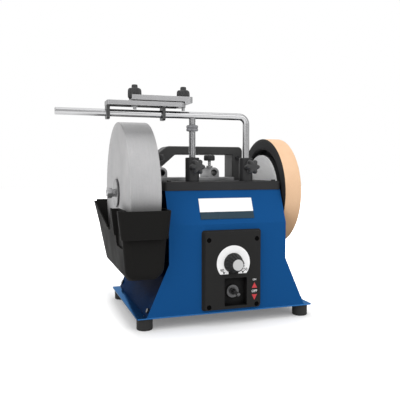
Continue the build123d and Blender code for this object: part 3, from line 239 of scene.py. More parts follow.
class Effect(Wiring):
    """Shader node group that finishes share, built at its first use."""

    name: ClassVar[str]
    inputs: ClassVar[tuple[str, ...]]
    results: ClassVar[tuple[str, ...]]

    @classmethod
    def use(cls, wiring: Wiring, **values: float) -> NodeOutputs:
        """Puts the group into a material.

        Args:
            wiring: The material's wiring.
            **values: Values of the group's inputs.

        Returns:
            The outputs of the group's node.
        """
        tree = bpy.data.node_groups.get(cls.name) or cls.build()
        inputs = {label.title(): value for label, value in values.items()}
        return wiring.lay("Group", inputs, node_tree=tree).outputs

    @classmethod
    def build(cls) -> ShaderNodeTree:
        """Builds the group with its sockets.

        Returns:
            The node group.
        """
        tree = bpy.data.node_groups.new(cls.name, "ShaderNodeTree")
        for way, labels in (("INPUT", cls.inputs), ("OUTPUT", cls.results)):
            for label in labels:
                tree.interface.new_socket(name=label, in_out=way, socket_type="NodeSocketFloat")
        group = cls(tree)
        found = group.fill(tree.nodes.new("NodeGroupInput").outputs)
        for socket, result in zip(tree.nodes.new("NodeGroupOutput").inputs, found):
            group.feed(socket, result)
        return tree

    def fill(self, given: NodeOutputs) -> list[NodeSocket]:
        """Lays the nodes between the group's inputs and its results; each effect has its own."""
        raise NotImplementedError


class Smudge(Effect):
    """Slow clouds between two values, as handling leaves them in a gloss."""

    name = "soft_smudge"
    inputs = ("Scale", "Least", "Most")
    results = ("Value",)
    detail = 4.0
    cloud_span = (0.32, 0.68)

    def fill(self, given: NodeOutputs) -> list[NodeSocket]:
        """Lays the clouds."""
        cloud = self.noise(self.place(), given["Scale"], self.detail)
        return [self.stretch(cloud, *self.cloud_span, given["Least"], given["Most"])]


class Grain(Effect):
    """Fine even grain: its height, and a mask of its darker specks."""

    name = "fine_grain"
    inputs = ("Scale",)
    results = ("Height", "Speck")
    detail = 3.0
    cell_share = 0.62
    speck_span = (0.10, 0.42)

    def fill(self, given: NodeOutputs) -> list[NodeSocket]:
        """Lays the grain.

        Args:
            given: The group's inputs.

        Returns:
            The height and the mask.
        """
        place = self.place()
        fine = self.noise(place, given["Scale"], self.detail)
        coarser = self.sum("MULTIPLY", given["Scale"], self.cell_share)
        cells = self.lay("TexVoronoi", {"Vector": place, "Scale": coarser})
        return [fine, self.stretch(cells.outputs["Distance"], *self.speck_span, 1.0, 0.0)]


class EdgeRub(Effect):
    """Mask of the rubbed corners, broken up so that it doesn't run like a drawn line."""

    name = "edge_rub"
    inputs = ("Radius", "Breaks", "Strength")
    results = ("Mask",)
    detail = 5.0
    corner_span = (0.97, 0.80)
    break_span = (0.36, 0.62)
    break_least = 0.25

    def fill(self, given: NodeOutputs) -> list[NodeSocket]:
        """Lays the rubbed corners.

        Args:
            given: The group's inputs.

        Returns:
            The mask.
        """
        both = {0: self.rounded(given["Radius"]), 1: self.facing()}
        match = self.lay("VectorMath", both, operation="DOT_PRODUCT").outputs["Value"]
        edge = self.stretch(match, *self.corner_span, 0.0, 1.0)
        breaks = self.noise(self.place(), given["Breaks"], self.detail)
        kept = self.stretch(breaks, *self.break_span, self.break_least, 1.0)
        return [self.sum("MULTIPLY", self.sum("MULTIPLY", edge, kept), given["Strength"])]


class PaintedShade(Effect):
    """Mask for painted shade: the places that other surfaces close in; Fronts 1 counts front and top faces
    too.
    """

    name = "painted_shade"
    inputs = ("Reach", "Dark", "Clear", "Fronts")
    results = ("Mask",)
    samples = 8
    front_span = (0.65, 0.95)

    def fill(self, given: NodeOutputs) -> list[NodeSocket]:
        """Lays the mask of painted shade.

        Args:
            given: The group's inputs.

        Returns:
            The mask.
        """
        near = self.lay("AmbientOcclusion", {"Distance": given["Reach"]}, samples=self.samples)
        closed = self.stretch(near.outputs["AO"], given["Dark"], given["Clear"], 1.0, 0.0)
        parts = self.parts(self.facing())
        front = self.sum("MAXIMUM", self.sum("ABSOLUTE", parts["Y"]), parts["Z"])
        aside = self.stretch(front, *self.front_span, 1.0, 0.0)
        return [self.sum("MULTIPLY", closed, self.sum("MAXIMUM", aside, given["Fronts"]))]


class Streaks(Effect):
    """Height of the long thin marks that drawing or brushing leaves along one direction."""

    name = "drawn_streaks"
    inputs = ("X", "Y", "Z")
    results = ("Height",)
    detail = 4.0

    def fill(self, given: NodeOutputs) -> list[NodeSocket]:
        """Lays the marks.

        Args:
            given: The group's inputs, the marks in a metre along each axis.

        Returns:
            The height.
        """
        scale = self.lay("CombineXYZ", {axis: given[axis] for axis in self.inputs})
        both = {0: self.place(), 1: scale.outputs[0]}
        longer = self.lay("VectorMath", both, operation="MULTIPLY").outputs[0]
        return [self.noise(longer, 1.0, self.detail)]


class Turned(Effect):
    """Height of the rings that a lathe tool leaves about a line along X."""

    name = "turned_rings"
    inputs = ("Y", "Z", "Rings")
    results = ("Height",)
    detail = 3.0

    def fill(self, given: NodeOutputs) -> list[NodeSocket]:
        """Lays the rings.

        Args:
            given: The group's inputs, the line's place and the rings in a metre.

        Returns:
            The height.
        """
        parts = self.parts(self.place())
        offs = [self.sum("SUBTRACT", parts[axis], given[axis]) for axis in "YZ"]
        squares = self.sum("ADD", *(self.sum("POWER", off, 2.0) for off in offs))
        along = self.sum("MULTIPLY", self.sum("SQRT", squares), given["Rings"])
        line = {"W": along, "Scale": 1.0, "Detail": self.detail}
        return [self.lay("TexNoise", line, noise_dimensions="1D").outputs[0]]


@dataclass(frozen=True)
class Rub:
    """How corners are rubbed: their radius, the breaks in a metre of edge, and the strength."""

    radius: float
    breaks: float
    strength: float


@dataclass(frozen=True)
class Shelter:
    """Where a surface gets painted shade as closed in: how far around, its openness when dark and clear,
    its fronts.
    """

    reach: float = 0.2
    dark: float = 0.55
    clear: float = 1.0
    fronts: float = 0.0


@dataclass(frozen=True)
class Finish:
    """One kind of surface, with the values that are the same all over it.

    The roughness drifts by spread to either side, with so many clouds in a metre. The shading rounds the
    corners by their radius and lays a height over them: bump is its strength and depth its metres. Grain
    counts the grains in a metre.
    """

    slot: Surface
    color: Color
    roughness: float = 0.5
    metallic: float = 0.0
    corner: float = 0.0006
    bump: float = 0.1
    depth: float = 0.0
    spread: float = 0.06
    clouds: float = 16.0
    grain: float = 1500.0
    rub: Rub = Rub(0.0008, 220.0, 0.45)
    closed: Shelter = Shelter()
    sockets: tuple[tuple[str, float | tuple[float, ...]], ...] = ()

    @cache
    def material(self) -> Material:
        """Gives the finish's material, and builds it at its first use.

        Returns:
            The node material.
        """
        made = bpy.data.materials.new(self.slot.value)
        made.diffuse_color = (*self.color, 1.0)
        wiring = Coating(made)
        plain = ("Base Color", self.color), ("Roughness", self.roughness), ("Metallic", self.metallic)
        for name, value in plain + self.sockets:
            wiring.set(name, value)
        self.wire(wiring)
        return made

    def wire(self, wiring: Coating) -> None:
        """Wires what changes over the surface; a plain finish only drifts in gloss."""
        self.vary_gloss(wiring)
        self.raise_bump(wiring)

    def vary_gloss(self, wiring: Coating) -> None:
        """Lets the roughness drift about its middle value.

        Args:
            wiring: The material's wiring.
        """
        least, most = self.roughness - self.spread, self.roughness + self.spread
        cloud = Smudge.use(wiring, scale=self.clouds, least=least, most=most)
        wiring.set("Roughness", cloud["Value"])

    def rubbed(self, wiring: Coating, skin: Tint, worn: Color) -> NodeSocket:
        """Gives a skin's colour with another one at its rubbed corners."""
        return wiring.blend(EdgeRub.use(wiring, **asdict(self.rub))["Mask"], skin, worn)

    def hidden(self, wiring: Coating) -> NodeSocket:
        """Gives the mask of painted shade, where other surfaces close the finish in."""
        return PaintedShade.use(wiring, **asdict(self.closed))["Mask"]

    def raise_bump(self, wiring: Coating, height: NodeSocket | None = None) -> None:
        """Rounds the corners in the shading and lays a height over them.

        Args:
            wiring: The material's wiring.
            height: The height to lay over the surface, if any.
        """
        normal = wiring.rounded(self.corner)
        if height is not None:
            bump = {"Height": height, "Strength": self.bump, "Distance": self.depth, "Normal": normal}
            normal = wiring.lay("Bump", bump).outputs[0]
        wiring.set("Normal", normal)


@dataclass(frozen=True)
class EvenFinish(Finish):
    """Even skin with a fine grain, corners rubbed paler, and painted shade in hollows where deep is set."""

    edge: Color = (0.12, 0.12, 0.12)
    # deep: colour of the painted shade where other surfaces close the skin in
    deep: Color | None = None

    def wire(self, wiring: Coating) -> None:
        """Wires the skin.

        Args:
            wiring: The material's wiring.
        """
        self.vary_gloss(wiring)
        skin = self.rubbed(wiring, self.color, self.edge)
        # Painted shade: darkens the skin towards deep where other surfaces close it in
        if self.deep:
            skin = wiring.blend(self.hidden(wiring), skin, self.deep)
        wiring.set("Base Color", skin)
        self.raise_bump(wiring, Grain.use(wiring, scale=self.grain)["Height"])


@dataclass(frozen=True)
class PaintFinish(EvenFinish):
    """Powder coat: a faint orange peel, paler along the folds, and painted shade where it is closed in."""

    depth: float = 0.00005
    spread: float = 0.05
    clouds: float = 10.0
    grain: float = 420.0
    rub: Rub = Rub(0.0011, 90.0, 0.55)
    edge: Color = (0.05, 0.16, 0.40)
    # Colour of the painted shade on side faces that other surfaces close in
    deep: Color = (0.0006, 0.005, 0.024)


@dataclass(frozen=True)
class PlasticFinish(EvenFinish):
    """Moulded plastic: a fine spark-eroded grain, corners polished by handling, and painted shade where
    deep is set.
    """

    depth: float = 0.00007
    spread: float = 0.07
    # Reach of the painted shade in pockets and recesses, such as the switch's
    closed: Shelter = Shelter(0.03, 0.2, 0.8, 1.0)


@dataclass(frozen=True)
class MetalFinish(Finish):
    """Bare or plated metal with the marks of drawing, brushing or turning."""

    metallic: float = 1.0
    depth: float = 0.00004
    across: Point = (30.0, 1500.0, 1500.0)
    turned: bool = False
    spindle: Span = (-0.0035, 0.222)
    rings: float = 900.0
    dimmed: float = 0.86
    gloss_span: Span = (0.3, 0.7)
    tone_span: Span = (0.35, 0.65)

    def wire(self, wiring: Coating) -> None:
        """Wires the metal.

        Args:
            wiring: The material's wiring.
        """
        if self.turned:
            height = Turned.use(wiring, **dict(zip("yz", self.spindle)), rings=self.rings)["Height"]
        else:
            height = Streaks.use(wiring, **dict(zip("xyz", self.across)))["Height"]
        low, high = self.roughness - self.spread, self.roughness + self.spread
        wiring.set("Roughness", wiring.stretch(height, *self.gloss_span, low, high))
        darker = tuple(self.dimmed * part for part in self.color)
        marked = wiring.stretch(height, *self.tone_span, 0.0, 1.0)
        wiring.set("Base Color", wiring.blend(marked, darker, self.color))
        self.raise_bump(wiring, height)


@dataclass(frozen=True)
class CastFinish(Finish):
    """Bead-blasted casting: an even pebbled grey, brighter corners, dark steel below a split, painted shade
    in hollows.
    """

    metallic: float = 0.75
    depth: float = 0.00015
    clouds: float = 40.0
    grain: float = 900.0
    rub: Rub = Rub(0.0007, 260.0, 0.6)
    closed: Shelter = Shelter(0.025, 0.25, 0.65, 1.0)
    worn: Color = (0.72, 0.72, 0.72)
    # Dark steel's own colour below the split, and also the colour of the painted shade in closed-in places
    deep: Color = (0.05, 0.05, 0.05)
    dimmed: float = 0.8
    split: float = 0.0
    split_blur: float = 0.0002

    def wire(self, wiring: Coating) -> None:
        """Wires the casting.

        Args:
            wiring: The material's wiring.
        """
        self.vary_gloss(wiring)
        grain = Grain.use(wiring, scale=self.grain)
        darker = tuple(self.dimmed * part for part in self.color)
        skin = self.rubbed(wiring, wiring.blend(grain["Speck"], self.color, darker), self.worn)
        height = wiring.parts(wiring.place())["Z"]
        low = wiring.stretch(height, self.split - self.split_blur, self.split + self.split_blur, 1.0, 0.0)
        skin = wiring.blend(low, skin, self.deep)
        # Painted shade: darkens the casting towards deep where other surfaces close it in
        wiring.set("Base Color", wiring.blend(self.hidden(wiring), skin, self.deep))
        self.raise_bump(wiring, grain["Height"])


@dataclass(frozen=True)
class NaturalFinish(Finish):
    """Uneven stuff: slow clouds of a second tone, and pores of a third."""

    drift: float = 22.0
    cloudy: float = 0.55
    cloud: Color = (0.43, 0.43, 0.435)
    porous: float = 0.30
    pore: Color = (0.22, 0.22, 0.23)

    def body(self, wiring: Coating) -> tuple[NodeSocket, NodeSocket]:
        """Lays the clouds and the pores.

        Args:
            wiring: The material's wiring.

        Returns:
            The colour and the height of the grain.
        """
        slow = Smudge.use(wiring, scale=self.drift, least=0.0, most=self.cloudy)
        tone = wiring.blend(slow["Value"], self.color, self.cloud)
        grain = Grain.use(wiring, scale=self.grain)
        pores = wiring.sum("MULTIPLY", grain["Speck"], self.porous)
        return wiring.blend(pores, tone, self.pore), grain["Height"]


@dataclass(frozen=True)
class StoneFinish(NaturalFinish):
    """Bonded grit: pale grains and dark pores, a brushed look, and painted shade on the rim and hollows,
    not on top.
    """

    depth: float = 0.0003
    grain: float = 1100.0
    closed: Shelter = Shelter(0.10, 0.3, 0.95, 1.0)
    # Colour of the painted shade where other surfaces, such as the trough, close the stone in
    deep: Color = (0.16, 0.16, 0.16)
    across: Point = (700.0, 25.0, 25.0)
    brush_span: Span = (0.35, 0.65)
    brushed: float = 0.10
    # The rim and the closed-in places get painted shade, except on faces that look up and stay lit
    rim_span: Span = (0.3, 0.7)
    rim: float = 0.22
    top_span: Span = (0.82, 0.92)

    def wire(self, wiring: Coating) -> None:
        """Wires the stone.

        Args:
            wiring: The material's wiring.
        """
        body, height = self.body(wiring)
        sweep = Streaks.use(wiring, **dict(zip("xyz", self.across)))["Height"]
        body = wiring.blend(wiring.stretch(sweep, *self.brush_span, self.brushed, 0.0), body, self.pore)
        facing = wiring.parts(wiring.facing())
        # Painted shade: the rim is darkened towards the pore colour, except where it faces up
        rim = wiring.stretch(wiring.sum("ABSOLUTE", facing["X"]), *self.rim_span, self.rim, 0.0)
        below = wiring.stretch(facing["Z"], *self.top_span, 1.0, 0.0)
        body = wiring.blend(wiring.sum("MULTIPLY", rim, below), body, self.pore)
        # Painted shade towards deep in closed-in places, also kept off the faces that look up
        hidden = wiring.sum("MULTIPLY", self.hidden(wiring), below)
        wiring.set("Base Color", wiring.blend(hidden, body, self.deep))
        self.raise_bump(wiring, height)


@dataclass(frozen=True)
class LeatherFinish(NaturalFinish):
    """Natural tanned leather: warm clouds, fine pores, darker cut edges and painted shade, blackened on its
    -X side.
    """

    depth: float = 0.0002
    spread: float = 0.08
    clouds: float = 30.0
    grain: float = 800.0
    rub: Rub = Rub(0.0012, 120.0, 0.8)
    # Reach of the painted shade, which takes the cut edges' colour
    closed: Shelter = Shelter(0.30, 0.3, 1.0, 1.0)
    drift: float = 26.0
    cloudy: float = 0.35
    cloud: Color = (0.62, 0.38, 0.21)
    porous: float = 0.16
    pore: Color = (0.62, 0.38, 0.21)
    cut: Color = (0.42, 0.25, 0.13)
    black: Color = (0.030, 0.028, 0.026)
    inner_span: Span = (-0.9, -0.7)

    def wire(self, wiring: Coating) -> None:
        """Wires the leather.

        Args:
            wiring: The material's wiring.
        """
        self.vary_gloss(wiring)
        hide, height = self.body(wiring)
        # The cut colour goes on the rubbed edges, and as painted shade where other surfaces close the
        # leather in
        hide = wiring.blend(self.hidden(wiring), self.rubbed(wiring, hide, self.cut), self.cut)
        inner = wiring.stretch(wiring.parts(wiring.facing())["X"], *self.inner_span, 1.0, 0.0)
        wiring.set("Base Color", wiring.blend(inner, hide, self.black))
        self.raise_bump(wiring, height)


@dataclass(frozen=True)
class BoardFinish(Finish):
    """Circuit board: green mask with paler runs of copper under it."""

    spread: float = 0.05
    copper: Color = (0.07, 0.32, 0.13)
    runs: float = 90.0
    run_width: float = 0.03

    def wire(self, wiring: Coating) -> None:
        """Wires the board.

        Args:
            wiring: The material's wiring.
        """
        self.vary_gloss(wiring)
        brick = {"Vector": wiring.place(), "Scale": self.runs, "Mortar Size": self.run_width}
        runs = wiring.lay("TexBrick", brick).outputs["Fac"]
        wiring.set("Base Color", wiring.blend(runs, self.color, self.copper))
        self.raise_bump(wiring)


BARE = (("Specular IOR Level", 0.002),)
FLAT = (("Specular IOR Level", 0.0065),)
MATT = (("Specular IOR Level", 0.06),)
DULL = (("Specular IOR Level", 0.16),)
SATIN = (("Specular IOR Level", 0.28),)
FLAKE = (("Specular Tint", (0.39, 0.54, 0.73, 1.0)), ("Specular IOR Level", 0.1))
LABEL_DEPTH = 0.00002
LABEL_EDGE = (0.70, 0.70, 0.70)

# Finishes with a deep or cut colour get painted shade where other surfaces close them in: the paints, the
# panel's plastic, castings, stone and leather.
FINISHES: dict[Surface, Finish] = {
    finish.slot: finish
    for finish in (
        # The blue paint's painted shade darkens its skirts where the trough closes them in.
        PaintFinish(Slot.BLUE_PAINT, (0.0090, 0.074, 0.232), 0.40, bump=0.12, sockets=BARE),
        PaintFinish(Shade.BASE_PAINT, (0.024, 0.118, 0.31), 0.12, 0.85, bump=0.02, sockets=FLAKE),
        PlasticFinish(Slot.BLACK_PLASTIC, (0.0140, 0.0137, 0.0132), 0.50, bump=0.25, sockets=FLAT),
        PlasticFinish(
            Shade.PANEL_BLACK,
            (0.0255, 0.0253, 0.0250),
            0.50,
            bump=0.25,
            sockets=FLAT,
            # deep paints shade into the switch pocket and the panel's other recesses
            deep=(0.004, 0.004, 0.004),
        ),
        PlasticFinish(Shade.COVER_BLACK, (0.032, 0.032, 0.033), 0.48, bump=0.25, sockets=MATT),
        PlasticFinish(Shade.HANDLE_BLACK, (0.053, 0.053, 0.053), 0.46, bump=0.25, sockets=DULL),
        PlasticFinish(Slot.KNOB_PLASTIC, (0.030, 0.030, 0.031), 0.40, bump=0.25, sockets=SATIN),
        PaintFinish(
            Slot.SLEEVE_BLACK,
            (0.030, 0.030, 0.031),
            0.36,
            bump=0.15,
            grain=600.0,
            sockets=DULL,
            edge=(0.08, 0.08, 0.08),
            deep=(0.024, 0.024, 0.025),
        ),
        PlasticFinish(Slot.FOOT_RUBBER, (0.030, 0.030, 0.030), 0.72, bump=0.3, grain=900.0, sockets=DULL),
        PlasticFinish(Slot.LINING_RUBBER, (0.050, 0.050, 0.050), 0.70, bump=0.3, grain=900.0, sockets=DULL),
        LeatherFinish(Slot.LEATHER, (0.80, 0.53, 0.335), 0.62, bump=0.35, sockets=SATIN),
        StoneFinish(Slot.GRIT_STONE, (0.555, 0.55, 0.553), 0.88, bump=0.4, sockets=DULL),
        MetalFinish(Slot.CHROME_ROD, (0.37, 0.37, 0.375), 0.17, bump=0.05, spread=0.05),
        MetalFinish(Slot.STEEL_BRIGHT, (0.44, 0.44, 0.445), 0.24, 0.75, bump=0.08, turned=True),
        MetalFinish(Shade.WASHER_STEEL, (0.16, 0.16, 0.162), 0.34, bump=0.08, turned=True),
        MetalFinish(Slot.SCREW_DARK, (0.012, 0.012, 0.013), 0.36, 0.4, bump=0.06, turned=True),
        Finish(Shade.SCREW_BLACK, (0.003, 0.003, 0.003), 0.55, sockets=FLAT),
        CastFinish(Slot.CAST_GREY, (0.29, 0.29, 0.295), 0.40, bump=0.25),
        CastFinish(Shade.JIG_CAST, (0.29, 0.29, 0.295), 0.40, bump=0.25, split=0.3678),
        MetalFinish(Slot.HUB_SILVER, (1.0, 1.0, 1.0), 0.36, 0.0, bump=0.15, turned=True),
        MetalFinish(Slot.BUSH_BRONZE, (0.60, 0.40, 0.19), 0.34, bump=0.08, turned=True),
        PlasticFinish(Slot.PLATE_WHITE, (0.88, 0.88, 0.88), 0.30, depth=LABEL_DEPTH, edge=LABEL_EDGE),
        PlasticFinish(Slot.SCALE_WHITE, (0.90, 0.90, 0.90), 0.34, depth=LABEL_DEPTH, edge=LABEL_EDGE),
        PlasticFinish(
            Slot.STRIP_DARK,
            (0.010, 0.034, 0.054),
            0.30,
            depth=LABEL_DEPTH,
            sockets=DULL,
            edge=(0.05, 0.10, 0.13),
        ),
        PlasticFinish(Slot.CAP_GREY, (0.52, 0.52, 0.52), 0.36, bump=0.15, edge=(0.62, 0.62, 0.62)),
        PlasticFinish(Slot.SWITCH_BLACK, (0.018, 0.018, 0.018), 0.40, bump=0.2, sockets=SATIN),
        MetalFinish(Shade.RING_GREY, (0.085, 0.085, 0.087), 0.34, 0.6, bump=0.06),
        MetalFinish(Slot.SWITCH_METAL, (0.20, 0.20, 0.21), 0.34, bump=0.06),
        BoardFinish(Slot.BOARD_GREEN, (0.02, 0.14, 0.05), 0.30),
        PlasticFinish(Slot.POST_WHITE, (0.76, 0.75, 0.70), 0.46, bump=0.15, edge=(0.85, 0.85, 0.82)),
        PaintFinish(
            Slot.MOTOR_PAINT,
            (0.10, 0.10, 0.11),
            0.42,
            edge=(0.25, 0.25, 0.26),
            deep=(0.05, 0.05, 0.055),
        ),
        MetalFinish(Slot.CORE_STEEL, (0.28, 0.28, 0.29), 0.46, bump=0.3, across=(1800.0, 20.0, 20.0)),
        Finish(Shade.INK_WHITE, (0.80, 0.80, 0.80), 0.40),
        Finish(Shade.INK_RED, (0.50, 0.020, 0.028), 0.40),
        Finish(Shade.INK_DARK, (0.004, 0.004, 0.004), 0.45, sockets=MATT),
    )
}


def put(name: str, data: ID) -> Object:
    """Puts a new object into the scene.

    Args:
        name: Its name.
        data: Its mesh, curve, light or camera.

    Returns:
        The object.
    """
    made = bpy.data.objects.new(name, data)
    bpy.context.scene.collection.objects.link(made)
    return made


class Skin:
    """Builds closed meshes from rings of points."""

    @staticmethod
    def angles(count: int) -> list[float]:
        """Gives evenly spaced angles around a full turn."""
        return [FULL_TURN * step / count for step in range(count)]

    @staticmethod
    def waves(number: int, facets: int) -> list[float]:
        """Gives waves from 0 to 1 and back around a full turn, with so many facets each."""
        return [0.5 - 0.5 * math.cos(number * angle) for angle in Skin.angles(number * facets)]

    @staticmethod
    def ring(radii: Sequence[float], height: float) -> list[Vector]:
        """Gives a ring about Z from its radii at evenly spaced angles."""
        turns = zip(radii, Skin.angles(len(radii)))
        return [Vector((reach * math.cos(turn), reach * math.sin(turn), height)) for reach, turn in turns]

    @staticmethod
    def tube(rings: Sequence[Sequence[Vector]], looped: bool = False) -> Shape:
        """Joins rings of equal length into a skin.

        Args:
            rings: Rings in order, all turning the same way.
            looped: Joins the last ring to the first one instead of closing both ends.

        Returns:
            Vertices and faces.
        """
        count = len(rings[0])
        points = [point for ring in rings for point in ring]
        faces: list[tuple[int, ...]] = []
        for number in range(len(rings) if looped else len(rings) - 1):
            here, there = number * count, (number + 1) % len(rings) * count
            for step in range(count):
                after = (step + 1) % count
                faces.append((here + step, here + after, there + after, there + step))
        if not looped:
            faces.append(tuple(reversed(range(count))))
            faces.append(tuple(range(len(points) - count, len(points))))
        return points, faces

    @staticmethod
    def piece(
        name: str, shape: Shape, place: Matrix, surface: Surface, body: Body, crease: float = 0.6
    ) -> Object:
        """Makes a mesh object that rides on a body.

        Args:
            name: Name of the piece.
            shape: Vertices and faces in the piece's own frame.
            place: From the piece's own frame to the row frame.
            surface: Surface that it takes its finish from.
            body: Body that carries it.
            crease: Angle in radians over which an edge stays sharp.

        Returns:
            The new object.
        """
        points, faces = shape
        mesh = bpy.data.meshes.new(name)
        mesh.from_pydata([place @ point for point in points], [], faces)
        mesh.validate()
        mesh.update()
        mesh.shade_smooth()
        mesh.set_sharp_from_angle(angle=crease)
        mesh.materials.append(FINISHES[surface].material())
        made = put(name, mesh)
        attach(made, body.value)
        log.info("made %s on %s", name, body.value)
        return made


def size_of(node: str) -> Vector:
    """Gives the size of a CAD node's box."""
    low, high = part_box(node)
    return Vector(high) - Vector(low)


def stand(place: Vector, up: Vector) -> Matrix:
    """Gives the matrix to the row frame from one at a place, with its Z along up and its X along X."""
    turn = Matrix((RIGHT, up.cross(RIGHT), up)).transposed().to_4x4()
    return Matrix.Translation(place) @ turn


def stand_in(node: str, up: Vector) -> Matrix:
    """Gives the matrix from a frame that stands in the foot of a CAD node's box."""
    middle = sum(map(Vector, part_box(node)), Vector()) / 2
    return stand(middle - up * (abs(size_of(node).dot(up)) / 2), up)


@dataclass(frozen=True)
class Thread:
    """Screw thread about Z, cut into a rod.

    A steep zigzag gives the flanks, less what is cut off flat at its crests and roots. The rod's ends lie
    below the crests by lead_in depths.
    """

    diameter: float
    length: float
    pitch: float
    depth: float
    steps: int = 28
    cuts: int = 6
    steepness: float = 1.6
    flat: float = 0.3
    lead_in: float = 1.2

    def radius(self, height: float, angle: float) -> float:
        """Gives the thread's radius at a height over the rod's foot and an angle about Z."""
        zigzag = abs(2.0 * ((height / self.pitch - angle / FULL_TURN) % 1.0) - 1.0)
        return self.diameter / 2 - self.depth * min(1.0, max(0.0, self.steepness * zigzag - self.flat))

    def shape(self) -> Shape:
        """Works out the threaded rod from Z 0 upwards.

        Returns:
            Vertices and faces.
        """
        count = max(2, round(self.length / self.pitch * self.cuts))
        heights = [self.length * number / count for number in range(count + 1)]
        angles = Skin.angles(self.steps)
        rings = [Skin.ring([self.radius(height, angle) for angle in angles], height) for height in heights]
        blunt = [self.diameter / 2 - self.lead_in * self.depth] * self.steps
        rings[0], rings[-1] = Skin.ring(blunt, heights[0]), Skin.ring(blunt, heights[-1])
        return Skin.tube(rings)


@dataclass(frozen=True)
class StarKnob:
    """Lobed grip on a threaded stud, in place of a plain CAD knob.

    A row of FOOT and TOPS is one ring of the grip: its share of the knob's radius, of the hollows' depth
    and of the grip's height. A row of CROWN has its share of the crown's radius and of its rise.
    """

    FOOT: ClassVar[Rows] = (
        (0.40, 0.0, 0.0),
        (0.80, 0.6, 0.01),
        (0.93, 0.9, 0.06),
        (0.985, 1.0, 0.16),
        (1.0, 1.0, 0.30),
    )
    TOPS: ClassVar[dict[KnobTop, Rows]] = {
        KnobTop.FLAT: ((0.985, 1.0, 0.72), (0.95, 1.0, 0.86), (0.88, 0.95, 0.95), (0.78, 0.8, 1.0)),
        KnobTop.DOMED: (
            (0.975, 1.05, 0.46),
            (0.92, 1.15, 0.62),
            (0.80, 1.25, 0.77),
            (0.64, 1.25, 0.88),
            (0.46, 1.0, 0.95),
            (0.30, 0.5, 0.99),
            (0.14, 0.0, 1.0),
        ),
    }
    CROWN: ClassVar[tuple[Span, ...]] = ((1.08, 0.0), (1.0, 0.15), (0.97, 0.75), (0.85, 1.0), (0.3, 1.0))

    grip: float
    stud: float
    pitch: float
    hollow: float = 0.20
    top: KnobTop = KnobTop.FLAT
    crown: float = 0.0
    crown_rise: float = 0.0
    lobes: int = 6
    facets: int = 14
    fullness: float = 1.3
    crease: float = 0.9
    stud_inside: float = 0.3
    thread_depth: float = 0.35

    def rings(self, radius: float, low: float) -> list[list[Vector]]:
        """Works out the grip's rings.

        Args:
            radius: Radius over the lobes.
            low: Height of the grip's underside.

        Returns:
            The rings from the underside up.
        """
        shares = self.FOOT + self.TOPS[self.top]
        rows = [(wide, deep, low + tall * self.grip) for wide, deep, tall in shares]
        if self.crown:
            share, start = self.crown / 2 / radius, low + self.grip
            rows += [(wide * share, 0.0, start + tall * self.crown_rise) for wide, tall in self.CROWN]
        waves = [wave**self.fullness for wave in Skin.waves(self.lobes, self.facets)]
        return [
            Skin.ring([radius * wide * (1.0 - self.hollow * deep * wave) for wave in waves], height)
            for wide, deep, height in rows
        ]

    def build(self, node: str, body: Body, up: Vector) -> list[Object]:
        """Makes the grip and its stud where the CAD knob is.

        Args:
            node: The CAD knob.
            body: Body that carries it.
            up: Direction from its stud to its grip.

        Returns:
            The grip and the stud.
        """
        size = size_of(node)
        radius = max(abs(size.dot(RIGHT)), abs(size.dot(up.cross(RIGHT)))) / 2
        low = abs(size.dot(up)) - self.grip - self.crown_rise
        place = stand_in(node, up)
        skin = Skin.tube(self.rings(radius, low))
        knob = Skin.piece(node + "_grip", skin, place, Slot.KNOB_PLASTIC, body, self.crease)
        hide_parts(node)
        length = low + self.stud_inside * self.grip
        screw = Thread(self.stud, length, self.pitch, self.thread_depth * self.pitch)
        return [knob, Skin.piece(node + "_stud", screw.shape(), place, Slot.STEEL_BRIGHT, body)]


@dataclass
class SubAssembly:
    """A group of CAD nodes that come apart together, with the finish of each."""

    nodes: ClassVar[Wardrobe] = {}

    def dress(self) -> None:
        """Gives each CAD node its finish."""
        for surface, names in self.nodes.items():
            for name in names:
                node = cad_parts[name]
                if not node.material_slots:
                    node.data.materials.append(None)
                for place in node.material_slots:
                    place.material = FINISHES[surface].material()
                log.info("dressed %s in %s", name, surface.value)

    def build(self) -> list[Object]:
        """Makes the pieces that the solids leave plain; none by default."""
        return []


@dataclass
class SpindleLine(SubAssembly):
    """Main shaft with the grindstone at one end and the honing wheel at the other."""

    nodes = {
        Slot.GRIT_STONE: ("grindstone",),
        Slot.STEEL_BRIGHT: ("main_shaft", "stone_collar", "spindle_nuts"),
        Shade.WASHER_STEEL: ("clamp_washers",),
        Shade.COVER_BLACK: ("honing_wheel",),
        Slot.LEATHER: ("leather_band",),
        Slot.LINING_RUBBER: ("drive_lining",),
        Slot.HUB_SILVER: ("hub_disc",),
    }


@dataclass
class Casing(SubAssembly):
    """Painted body, base, feet, cover and carrying handle."""

    nodes = {
        Slot.BLUE_PAINT: ("housing_shell",),
        Shade.BASE_PAINT: ("base_plate",),
        Slot.FOOT_RUBBER: ("rubber_feet",),
        Shade.COVER_BLACK: ("top_cover",),
        Shade.HANDLE_BLACK: ("carry_handle",),
        Slot.BLACK_PLASTIC: ("cable_gland",),
        Slot.SCREW_DARK: ("foot_screws", "skirt_screws", "cover_screws", "handle_bolts"),
        Slot.STEEL_BRIGHT: ("trough_pins",),
        Slot.CAST_GREY: ("bearing_blocks",),
        Slot.BUSH_BRONZE: ("bearing_bushes",),
        Slot.PLATE_WHITE: ("name_plate",),
        Slot.STRIP_DARK: ("model_strip",),
    }


@dataclass
class WaterTrough(SubAssembly):
    """Black moulded trough under the grindstone."""

    nodes = {Slot.BLACK_PLASTIC: ("water_trough",)}


@dataclass
class Drive(SubAssembly):
    """Motor and the shaft that runs on the lining of the honing wheel."""

    nodes = {
        Slot.MOTOR_PAINT: ("motor_can", "motor_cradle", "motor_straps"),
        Slot.CAST_GREY: ("motor_bells",),
        Slot.CORE_STEEL: ("stator_core", "rotor_core"),
        Slot.STEEL_BRIGHT: ("drive_shaft",),
        Slot.SCREW_DARK: ("cradle_screws",),
    }


